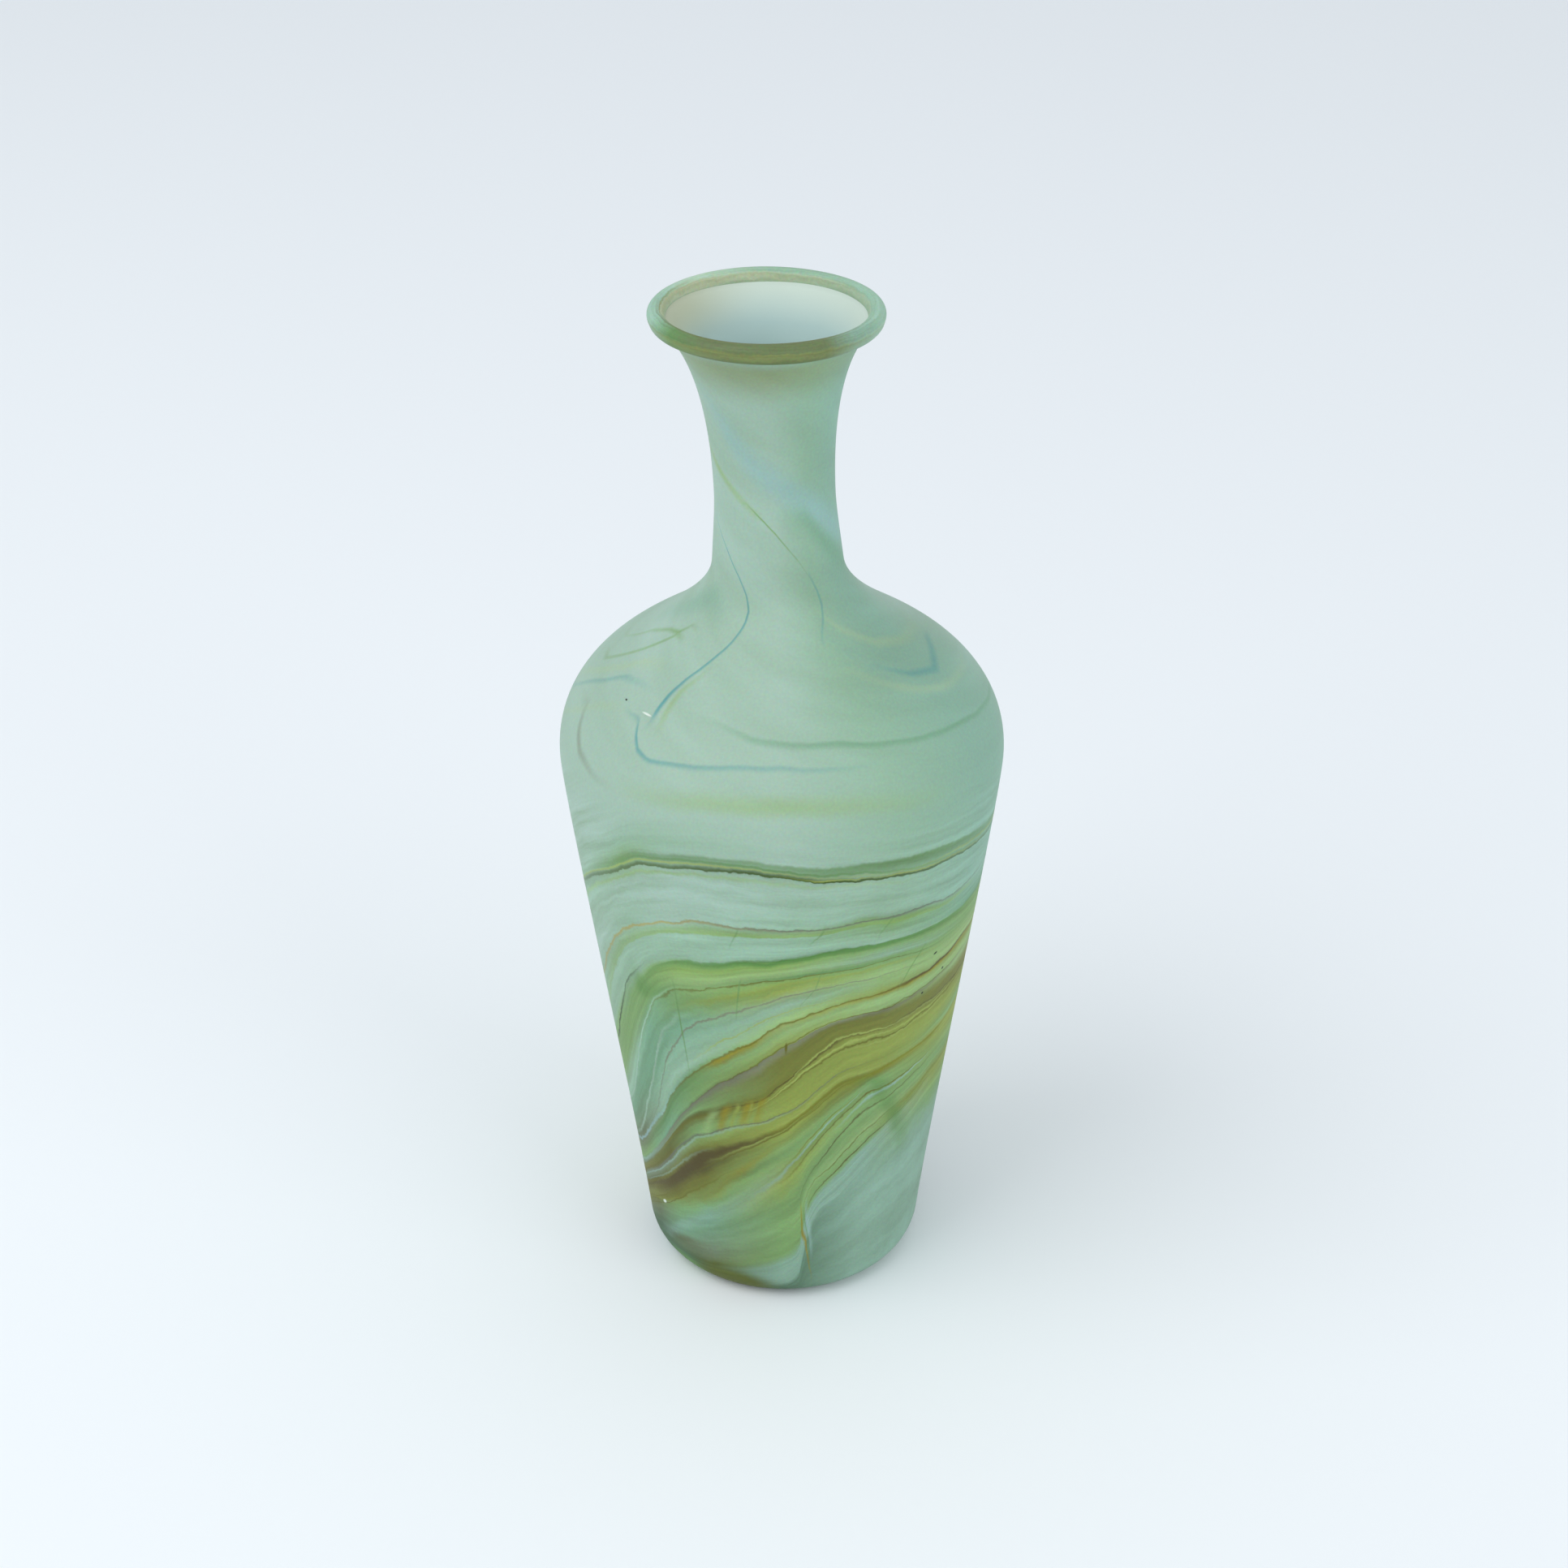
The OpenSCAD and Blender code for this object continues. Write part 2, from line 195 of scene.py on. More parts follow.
LINES = [
    (1.0, [(-85, 2), (-30, 3), (0, 5), (6, 8), (9, 22), (14, 31), (20, 34), (30, 41), (40, 46.5),
        (50, 50), (60, 53), (80, 53), (120, 38), (160, 22), (200, 10), (240, 4)]),
    (2.0, [(-85, 4), (-60, 6), (-30, 9), (-10, 13), (0, 16), (6, 20), (8, 29), (11, 36), (18.5, 42.5),
        (30, 50.5), (40, 55.5), (50, 58.5), (60, 61), (80, 60), (120, 47), (160, 30), (200, 16),
        (240, 7)]),
    (3.0, [(-85, 8), (-60, 18), (-45, 22), (-30, 27), (-15, 35), (0, 45), (9, 53), (20, 63.5), (30, 69.5),
        (50, 70), (60, 71.5), (80, 70), (120, 57), (160, 40), (200, 24), (240, 13)]),
    (3.4, [(-88, 9), (-65, 18.5), (-55, 21.5), (-45, 26.5), (-38, 31), (-28, 37), (-18, 43.5), (-5, 50),
        (10, 60), (20, 67), (30, 71.3), (60, 74), (80, 73), (120, 60), (160, 43), (200, 27), (240, 15)]),
    (4.0, [(-88, 12), (-70, 19.5), (-60, 25), (-50, 30.5), (-40, 38), (-30, 45.5), (-20, 50.5),
        (-10, 55.5), (0, 60), (10, 67.5), (20, 74), (45, 76), (60, 77.5), (80, 77.5), (120, 64),
        (160, 47), (200, 31), (240, 19)]),
    (4.4, [(-88, 14.5), (-70, 23.5), (-60, 29), (-52, 34.5), (-46, 40), (-35, 50), (-25, 55.5),
        (-16, 59.5), (-8, 62), (0, 65), (6, 68), (12, 72.5), (22, 77.5), (30, 78), (50, 79.5), (75, 81.5),
        (120, 68), (160, 51), (200, 34), (240, 22)]),
    (5.0, [(-88, 18.5), (-72, 25.5), (-60, 33), (-50, 41), (-40, 51.5), (-30, 60), (-22, 63), (-16, 66),
        (-10, 68), (0, 76), (8, 84), (18, 89.5), (30, 89), (45, 90), (60, 90.5), (75, 89.5), (120, 76),
        (160, 58), (200, 40), (240, 27)]),
    (5.5, [(-88, 21.5), (-70, 28), (-60, 34.5), (-48, 44.5), (-36, 58), (-28, 66), (-24, 70), (-15, 76),
        (-8, 80.5), (0, 86), (6, 89.5), (12, 92.5), (20, 94), (40, 94.5), (60, 96), (75, 96), (120, 83),
        (160, 64), (200, 46), (240, 31)]),
    (6.0, [(-88, 27.5), (-70, 33.5), (-60, 40), (-52, 47.5), (-46, 53.5), (-40, 62.5), (-32, 71.5),
        (-25, 77.5), (-10, 87), (0, 94), (8, 96.5), (20, 99), (50, 99), (58, 100), (64, 101), (75, 100),
        (120, 88), (160, 70), (200, 52), (240, 37)]),
    (7.0, [(-88, 41.5), (-72, 49), (-60, 62), (-52, 74.5), (-46, 84.5), (-40, 93.5), (-32, 99.5),
        (-20, 103), (-10, 106), (0, 108), (10, 109), (30, 109), (46, 107), (60, 106), (80, 104),
        (120, 94), (160, 77), (200, 60), (240, 48)]),
    (8.0, [(-88, 54), (-72, 64), (-60, 78), (-50, 93), (-42, 102), (-36, 106), (-30, 108.5), (-21, 109.5),
        (-10, 112.5), (0, 113.5), (13, 115), (30, 114), (40, 113), (50, 112), (60, 111), (80, 109),
        (120, 101), (160, 86), (200, 70), (240, 59)]),
    (9.0, [(-88, 80), (-75, 89), (-60, 102.5), (-50, 111), (-42, 115), (-30, 120), (-20, 122.5),
        (10, 122), (22, 122.7), (30, 121), (40, 120), (50, 118.5), (60, 118), (80, 116), (120, 109),
        (160, 97), (200, 86), (240, 80)]),
    (10.0, [(-88, 104), (-74, 112), (-60, 121), (-50, 127), (-39, 134), (-30, 136.5), (-20, 138.5),
        (-10, 139), (0, 138), (10, 136.5), (20, 135.5), (30, 133.5), (40, 132), (50, 131), (60, 129.5),
        (70, 127.5), (90, 125), (120, 121), (150, 113), (180, 105), (210, 99), (240, 98)]),
]
MM_PER_FLOW_ABOVE = 10


def loop_height(points, angle):
    """Height of a closed loop at these angles, through its points with no overshoot."""
    t = np.array([p[0] for p in points[-2:]] + [p[0] for p in points] + [p[0] for p in points[:2]], float)
    z = np.array([p[1] for p in points[-2:]] + [p[1] for p in points] + [p[1] for p in points[:2]], float)
    t[:2] -= 360
    t[-2:] += 360
    step, rise = np.diff(t), np.diff(z) / np.diff(t)
    mean = rise[:-1] + rise[1:]
    same = rise[:-1] * rise[1:] > 0
    slope = np.zeros_like(z)
    slope[1:-1][same] = 2 * rise[:-1][same] * rise[1:][same] / mean[same]
    a = np.mod(angle - t[1], 360) + t[1]
    i = np.clip(np.searchsorted(t, a) - 1, 0, len(step) - 1)
    u = (a - t[i]) / step[i]
    return ((2 * u**3 - 3 * u**2 + 1) * z[i] + (u**3 - 2 * u**2 + u) * step[i] * slope[i]
            + (3 * u**2 - 2 * u**3) * z[i + 1] + (u**3 - u**2) * step[i] * slope[i + 1])


def flow_at(p):
    """The flow at points of the body, in millimetres."""
    angle = np.degrees(np.arctan2(p[:, 0], -p[:, 1]))
    z = p[:, 2]
    below_value, below = 0.0, np.zeros(len(p))
    flow = np.zeros(len(p))
    for value, points in LINES:
        above = loop_height(points, angle)
        between = (z >= below) & (z < above)
        share = (z - below) / np.maximum(above - below, 1e-6)
        flow[between] = (below_value + share * (value - below_value))[between]
        below_value, below = value, above
    over = z >= below
    flow[over] = (below_value + (z - below) / MM_PER_FLOW_ABOVE)[over]
    return flow


# ---- Meshes ----


def solid(name, points, faces, **fields):
    """An object from points in true millimetres. Each point keeps its place and flow for the colours."""
    mesh = bpy.data.meshes.new(name)
    mesh.from_pydata((shape(points) * MM).tolist(), [], faces)
    mesh.update()
    place = mesh.attributes.new("place", "FLOAT_VECTOR", "POINT")
    place.data.foreach_set("vector", points.astype(np.float32).ravel())
    for field, values in {"flow": flow_at(points), **fields}.items():
        attribute = mesh.attributes.new(field, "FLOAT", "POINT")
        attribute.data.foreach_set("value", np.asarray(values, np.float32))
    mesh.polygons.foreach_set("use_smooth", [True] * len(mesh.polygons))
    obj = bpy.data.objects.new(name, mesh)
    bpy.context.collection.objects.link(obj)
    return obj


def turned(section, steps):
    """Rings of points round the axis through each [radius, height] of the section."""
    a = np.radians(np.arange(steps) * 360 / steps)
    grid = np.stack([section[:, :1] * np.sin(a), -section[:, :1] * np.cos(a),
                     np.repeat(section[:, 1:], steps, 1)], -1)
    return grid.reshape(-1, 3)


def ring_faces(rings, steps, closed):
    rows = np.arange(rings if closed else rings - 1)
    i, j = np.meshgrid(rows, np.arange(steps), indexing="ij")
    k, l = (i + 1) % rings, (j + 1) % steps
    return np.stack([i * steps + j, i * steps + l, k * steps + l, k * steps + j], -1).reshape(-1, 4).tolist()


def cap_faces(centre, first, steps, upward):
    turn = [(first + j, first + (j + 1) % steps) for j in range(steps)]
    return [[centre, a, b] if upward else [centre, b, a] for a, b in turn]


def turned_solid(name, section, steps, lumps=None, **fields):
    """A solid of revolution whose section runs from pole to pole, under side first."""
    points = turned(section[1:-1], steps)
    rings, n = len(section) - 2, len(points)
    points = np.vstack([points, [[0, 0, section[0, 1]], [0, 0, section[-1, 1]]]])
    faces = ring_faces(rings, steps, False)
    faces += cap_faces(n, 0, steps, False) + cap_faces(n + 1, n - steps, steps, True)
    if lumps:
        points = lumps(points)
    return solid(name, points, faces, **fields)


def resample(path, spacing):
    """The same path with points evenly this far apart."""
    path = np.asarray(path, float)
    length = np.r_[0, np.cumsum(np.linalg.norm(np.diff(path, axis=0), axis=1))]
    even = np.linspace(0, length[-1], max(2, int(round(length[-1] / spacing)) + 1))
    return np.stack([np.interp(even, length, path[:, k]) for k in (0, 1)], 1)


# ---- Body: the blown shell, closed from the push-up up the outside and down the inside ----

BODY_STEPS = 288
OUTSIDE_SPACING = 1.25
INSIDE_SPACING = 3.5

rest_outer_r = FOOT_R - HEEL_R
rest_inner_r = rest_outer_r - REST_W
dome_r = (rest_inner_r**2 + PUSH_UP**2) / (2 * PUSH_UP)
dome_angle = math.degrees(math.asin(rest_inner_r / dome_r))
push_up_curve = arc([0, PUSH_UP - dome_r], dome_r, 90, 90 - dome_angle, 14)

gutter = np.array([rest_inner_r + 1.5, FLOOR_T + 2])
floor_top = np.array([0, PUSH_UP + FLOOR_T])
wall_z = outside[:, 1]
wall_z = wall_z[(wall_z > floor_top[1] + HEEL_R) & (wall_z < HEIGHT - LIP_BAND - NECK_WALL)]
wall_t = np.interp(wall_z, [TAPER_H, ROOT_Z], [WALL, NECK_WALL])
inside_wall = inset(wall_z, wall_t)
inside_floor = np.vstack([
    bezier(floor_top, [rest_inner_r / 2, floor_top[1]], gutter - [6, -0.4], gutter, 12),
    bezier(gutter, gutter + [5, -0.4], inside_wall[0] - [0.6, 7], inside_wall[0], 12),
])


def glass_body():
    outer = np.vstack([push_up_curve, [[rest_inner_r, 0]], resample(outside, OUTSIDE_SPACING)])
    inner = resample(np.vstack([[flare_in], inside_wall[::-1]]), INSIDE_SPACING)
    inner = np.vstack([inner, inside_floor[::-1]])
    ring_count = [len(outer) - 1, len(inner) - 1]
    inside = np.r_[np.repeat([0, 1], np.array(ring_count) * BODY_STEPS), 0, 1]
    body = turned_solid("body_skin", np.vstack([outer, inner]), BODY_STEPS, inside=inside)
    finish_piece(body, "glass_body", "sea_green")


# ---- Lip: a round roll whose thickness wanders a little, as it was turned by hand ----

LIP_STEPS = 240
LIP_POINTS = 28
LIP_WANDER = 0.07
LIP_SEAM = -130


def lip_roll():
    roll = LIP_SEAM + 360 * np.arange(LIP_POINTS) / LIP_POINTS
    high = np.sin(np.radians(roll + LIP_LEAN)) > 0
    centre = np.where(high[:, None], lip_top, lip_low)
    out = np.stack([np.cos(np.radians(roll)), np.sin(np.radians(roll))], 1)
    a = np.radians(np.arange(LIP_STEPS) * 360 / LIP_STEPS)
    thick = LIP_HALF - LIP_WANDER + LIP_WANDER * np.sin(3 * a + 1) * np.cos(a - 0.6)
    r = centre[:, :1] + out[:, :1] * thick
    z = centre[:, 1:] + out[:, 1:] * thick
    points = np.stack([r * np.sin(a), -r * np.cos(a), z], -1).reshape(-1, 3)
    lip = solid("lip_bead", points, ring_faces(LIP_POINTS, LIP_STEPS, True), roll=np.repeat(roll, LIP_STEPS))
    finish_piece(lip, "lip_roll", "rim_green")


# ---- Punty scar: a disc in the push-up with a broken, uneven face ----

SCAR_R = 8.0
SCAR_T = 1.4
SCAR_TAPER = 1.2
SCAR_STEPS = 48
SCAR_EDGE = 0.4
SCAR_SIDE_SLOPE = 0.7
SCAR_FUSED = 0.1
RIPPLE = 0.16


def broken_face(points):
    """Shell-like ripples on the under side of the scar, up to a third of a millimetre deep."""
    x, y, z = points.T
    r = np.hypot(x, y)
    ripple = np.sin(0.9 * x + 1.7 * np.sin(0.5 * y)) * np.cos(0.8 * y - 0.6)
    under = z < PUSH_UP - SCAR_T + SCAR_EDGE / 2
    lift = np.where(under, RIPPLE * (1 + ripple) * (1 - (r / SCAR_R) ** 4), 0)
    return np.stack([x, y, z + lift], 1)


def punty_scar():
    low = PUSH_UP - SCAR_T
    under = np.stack([np.linspace(0, SCAR_R - SCAR_TAPER, 12), np.full(12, low)], 1)
    side_r = np.linspace(SCAR_R - SCAR_TAPER, SCAR_R, 4)[1:]
    side = np.stack([side_r, low + (side_r - side_r[0] + SCAR_EDGE) * SCAR_SIDE_SLOPE], 1)
    over_r = np.linspace(SCAR_R, 0, 10)[1:]
    over = np.stack([over_r, PUSH_UP - dome_r + np.sqrt(dome_r**2 - over_r**2) + SCAR_FUSED], 1)
    scar = turned_solid("punty_disc", np.vstack([under, side, over]), SCAR_STEPS, broken_face)
    finish_piece(scar, "punty_scar", "sea_green")


# ---- Trails: coloured glass melted into the skin, along the routes of the CAD model ----
# A route is a list of [angle, mark, width]: marks 0 to 100 run from the table to the widest
# point, 100 to 200 up the shoulder and 200 to 300 up the neck. The width is in millimetres.

TRAIL_PROUD = 0.02
TRAIL_EDGE = 0.008
TRAIL_DEPTH = 0.5
TRAIL_SIDE = 0.12
TRAIL_SPACING = 1.3
TRAIL_SPACING_ACROSS = 1.1
TRAIL_CORNER = math.radians(40)

TRAILS = {
    "olive_ring": ("olive", [(-90, 72, 1.4), (-60, 85.5, 1.6), (-30, 96.5, 2.2), (0, 97.5, 2.4),
        (30, 95, 4.6), (60, 92, 3.6), (90, 89, 2.4), (120, 85, 2), (150, 79.5, 1.8), (180, 74, 1.6),
        (210, 70, 1.4), (240, 68.5, 1.4)]),
    "fawn_thread": ("fawn", [(-60, 73.5, 0.8), (-45, 80.5, 1), (-30, 85, 1.1), (-15, 86.5, 1.1),
        (0, 86, 1.1), (20, 86.5, 1.1), (40, 84.8, 1), (60, 83.5, 1), (80, 81.5, 0.8)]),
    "moss_thread": ("moss", [(-42, 71.5, 0.8), (-30, 76.4, 1), (-15, 78.3, 1.1), (0, 80.2, 1.1),
        (15, 81, 1.1), (35, 80.5, 1), (60, 78.8, 1), (85, 77, 0.9), (110, 72.5, 0.8)]),
    "umber_thread": ("umber", [(-32, 70.4, 0.7), (-20, 73, 0.7), (-8, 74.7, 0.7), (2, 76.6, 0.8),
        (15, 77.1, 0.8), (30, 77, 0.7), (45, 75.9, 0.7), (60, 75, 0.7)]),
    "amber_thread": ("amber", [(-60, 28, 0.8), (-45, 38.5, 1), (-30, 51.8, 1), (-15, 59, 1.2), (0, 66, 1),
        (12, 69.4, 1.2), (28, 69.8, 1), (45, 70.3, 1.4), (60, 71.1, 1.7), (80, 70, 1.2)]),
    "umber_band": ("umber", [(-72, 16.5, 2), (-60, 21, 4), (-45, 30.5, 6), (-30, 41, 7), (-15, 49.5, 7),
        (0, 57.2, 8), (12, 62, 7.6), (28, 62.8, 8), (45, 63.8, 7), (60, 64.8, 6), (78, 64.5, 5),
        (95, 62, 4.5), (115, 57, 4), (140, 48.5, 3), (165, 40, 2)]),
    "amber_band": ("amber", [(-70, 12, 2.2), (-60, 15.8, 3.6), (-45, 23, 5.6), (-30, 31.4, 6),
        (-15, 37.6, 5), (0, 43, 4.6), (12, 48, 4), (26, 52.2, 3.2), (42, 53.2, 2.6), (60, 54.6, 2.6),
        (80, 56, 1.8)]),
    "upper_fan": ("amber", [(-30, 19, 0.8), (-15, 24.5, 1), (0, 31.5, 1.2), (12, 37, 1.2),
        (24, 41.6, 1.2), (38, 45.4, 1.2), (55, 48.6, 1)]),
    "lower_fan": ("amber", [(-14, 17, 0.8), (0, 25.5, 1), (12, 31.8, 1.2), (24, 37.2, 1.4), (38, 42, 1.6),
        (55, 45.4, 1.2)]),
    "hook_thread": ("amber", [(8, 14, 0.8), (7.2, 18, 1), (7.4, 22, 1.1), (10, 26.4, 1.1), (18, 31, 1.1),
        (30, 36.4, 1.2), (44, 40, 1), (60, 43, 0.8)]),
    "fold_thread": ("umber", [(-78, 41, 0.8), (-72, 46.5, 1), (-66, 52.5, 1), (-60, 57.8, 1.2),
        (-55, 63.6, 1), (-50, 67.5, 0.8)]),
    "milk_thread": ("milk", [(-67, 34, 1), (-61, 41, 1.2), (-56, 48, 1.4), (-51, 56, 1.4),
        (-45, 63.5, 1)]),
    "blue_thread": ("blue", [(-62, 223, 0.8), (-48, 215, 0.9), (-36, 207, 1), (-27, 198, 1.2),
        (-25, 191, 1.2), (-30, 182, 1.3), (-39, 171, 1.6), (-46, 161, 1.6), (-49, 151, 1.2),
        (-46, 141, 1.2), (-36, 137, 0.8)]),
    "straw_thread": ("straw", [(-62, 248, 1), (-42, 241.5, 1.4), (-22, 234, 1.2), (-4, 226.5, 1),
        (12, 218, 0.8), (24, 208, 0.6)]),
}


MEAN_R = 0.8 * SHOULDER_R


def height_of(mark):
    return np.interp(mark, [0, 100, 200, 300], [0, TAPER_H, ROOT_Z, HEIGHT])


def smooth_route(route, closed):
    """Angle, height and width along a smooth curve through the route's points."""
    p = np.array(route, float)
    turn = np.array([360, 0, 0])
    ends = (p[-1] - turn, p[0] + turn, p[1] + turn) if closed else (2 * p[0] - p[1], 2 * p[-1] - p[-2])
    p = np.vstack([ends[0], p, *ends[1:]])
    fine = []
    for a, b, c, d in zip(p[:-3], p[1:-2], p[2:-1], p[3:]):
        reach = math.radians(c[0] - b[0]) * MEAN_R
        rise = height_of(c[1]) - height_of(b[1])
        steps = max(2, round(math.hypot(reach, rise) / TRAIL_SPACING))
        u = (np.arange(steps) / steps)[:, None]
        fine.append(0.5 * (2 * b + (c - a) * u + (2 * a - 5 * b + 4 * c - d) * u**2
                           + (3 * b - a - 3 * c + d) * u**3))
    if not closed:
        fine.append(p[-2:-1])
    path = np.vstack(fine)
    path[:, 1] = height_of(path[:, 1])
    return path


def on_skin(angle, z, off):
    n_r, n_z = outside_normal(z)
    r = outside_r(z) + off * n_r
    a = np.radians(angle)
    return np.stack([r * np.sin(a), -r * np.cos(a), z + off * n_z], -1)


def trail(name, slot, route, closed=False):
    """A ribbon of glass a little proud of the skin, with a rounded under side sunk in it."""
    path = smooth_route(route, closed)
    angle, z, width = path.T
    if closed:
        run = np.roll(path, -1, 0) - np.roll(path, 1, 0)
        run[:, 0] = np.mod(run[:, 0] + 180, 360) - 180
    else:
        run = np.gradient(path, axis=0)
    r = outside_r(z)
    n_r = outside_normal(z)[0]
    along, up = np.radians(run[:, 0]) * r, run[:, 1] / n_r
    length = np.hypot(along, up)
    count = max(5, int(np.ceil(width.max() / TRAIL_SPACING_ACROSS)) + 1)
    across = np.linspace(1, -1, count)
    over = TRAIL_PROUD + (TRAIL_EDGE - TRAIL_PROUD) * across**2
    under = -TRAIL_DEPTH * (1 - across[1:-1] ** 2) - TRAIL_SIDE
    across = np.r_[across, across[-2:0:-1]] / 2
    off = np.r_[over, under[::-1]]
    n, m = len(path), len(across)
    side = across[None, :] * width[:, None]
    a = angle[:, None] - np.degrees(side * (up / length / r)[:, None])
    h = z[:, None] + side * (along / length * n_r)[:, None]
    points = on_skin(a, h, np.broadcast_to(off, (n, m))).reshape(-1, 3)
    faces = ring_faces(n, m, closed)
    if not closed:
        faces += [list(range(m))[::-1], list(range((n - 1) * m, n * m))]
    piece = solid(name + "_glass", points, faces)
    piece.data.set_sharp_from_angle(angle=TRAIL_CORNER)
    finish_piece(piece, name, slot)


# ---- Node graphs ----


def linear(channel):
    channel /= 255
    return channel / 12.92 if channel <= 0.04045 else ((channel + 0.055) / 1.055) ** 2.4


def srgb(r, g, b, gain=1.0, veil=0.0):
    return tuple(min(1, max(0, gain * linear(c) - veil)) for c in (r, g, b)) + (1,)


class Graph:
    """Small helpers that add shader nodes and join them up."""

    def __init__(self, tree):
        self.tree = tree

    def put(self, kind, **settings):
        node = self.tree.nodes.new("ShaderNode" + kind)
        for key, value in settings.items():
            setattr(node, key, value)
        return node

    def join(self, value, socket):
        if isinstance(value, bpy.types.NodeSocket):
            self.tree.links.new(value, socket)
        else:
            socket.default_value = value

    def math(self, operation, a, b=0.0, c=0.0):
        node = self.put("Math", operation=operation)
        for value, socket in zip((a, b, c), node.inputs):
            self.join(value, socket)
        return node.outputs[0]

    def fade(self, value, start, end):
        """0 at start, 1 at end, smooth between."""
        node = self.put("MapRange", interpolation_type="SMOOTHSTEP")
        for part, socket in zip((value, start, end), node.inputs):
            self.join(part, socket)
        return node.outputs[0]

    def ramp(self, value, stops):
        """Colours at places from 0 to 1."""
        node = self.put("ValToRGB")
        ramp = node.color_ramp
        ramp.elements.remove(ramp.elements[1])
        ramp.elements[0].position = stops[0][0]
        ramp.elements[0].color = stops[0][1]
        for place, colour in stops[1:]:
            ramp.elements.new(place).color = colour
        self.join(value, node.inputs[0])
        return node.outputs[0]

    def mix(self, share, a, b, blend="MIX"):
        node = self.put("MixRGB", blend_type=blend)
        for value, socket in zip((share, a, b), node.inputs):
            self.join(value, socket)
        return node.outputs[0]

    def noise(self, place, scale, detail=2.0, roughness=0.5):
        node = self.put("TexNoise")
        self.join(place, node.inputs["Vector"])
        node.inputs["Scale"].default_value = scale
        node.inputs["Detail"].default_value = detail
        node.inputs["Roughness"].default_value = roughness
        return node

    def field(self, name, output="Fac"):
        return self.put("Attribute", attribute_name=name).outputs[output]

    def vector(self, x, y, z):
        node = self.put("CombineXYZ")
        for value, socket in zip((x, y, z), node.inputs):
            self.join(value, socket)
        return node.outputs[0]

    def parts(self, vector):
        node = self.put("SeparateXYZ")
        self.join(vector, node.inputs[0])
        return node.outputs


# ---- Colours of the glass ----

# The colours are as seen in even light, apart from the painted light and shade marked below.
# The etched surface adds a thin white veil of its own, so the glass under it is that much deeper.
GAIN = 1.17
VEIL = 0.042
COLOURS = {
    "pale": (164, 191, 174), "mist": (152, 184, 160), "sea": (143, 180, 161), "aqua": (150, 184, 160),
    "grass": (138, 168, 98), "leaf": (150, 180, 122), "moss": (129, 163, 108), "fern": (108, 144, 94),
    "pine": (95, 138, 78), "straw": (145, 159, 84), "lime": (160, 176, 98), "gold": (146, 136, 42),
    "amber": (124, 128, 38), "olive": (121, 126, 66), "bark": (105, 104, 48), "umber": (90, 82, 36),
    "ash": (122, 138, 114), "lilac": (124, 126, 108), "tan": (168, 162, 106), "ice": (152, 184, 176),
    "sky": (152, 188, 192), "pale_teal_and_floor_light": (140, 172, 153), "pond": (93, 122, 100), "deep": (86, 112, 88),
    "earth": (100, 108, 62), "bruise": (112, 124, 96), "steel": (110, 114, 104), "teal": (98, 158, 158),
    "mint": (124, 166, 136), "smoke": (152, 188, 186), "white": (222, 232, 222), "ink": (45, 58, 38),
    "clear": (188, 210, 208), "cream": (206, 220, 210), "rim": (112, 126, 90), "reed": (142, 150, 92),
    "jade": (156, 192, 170), "haze": (184, 208, 186),
    "forest": (78, 98, 50), "bone": (184, 188, 152), "chalk": (168, 193, 160),
}


def colour(name):
    return srgb(*COLOURS[name], GAIN, VEIL)


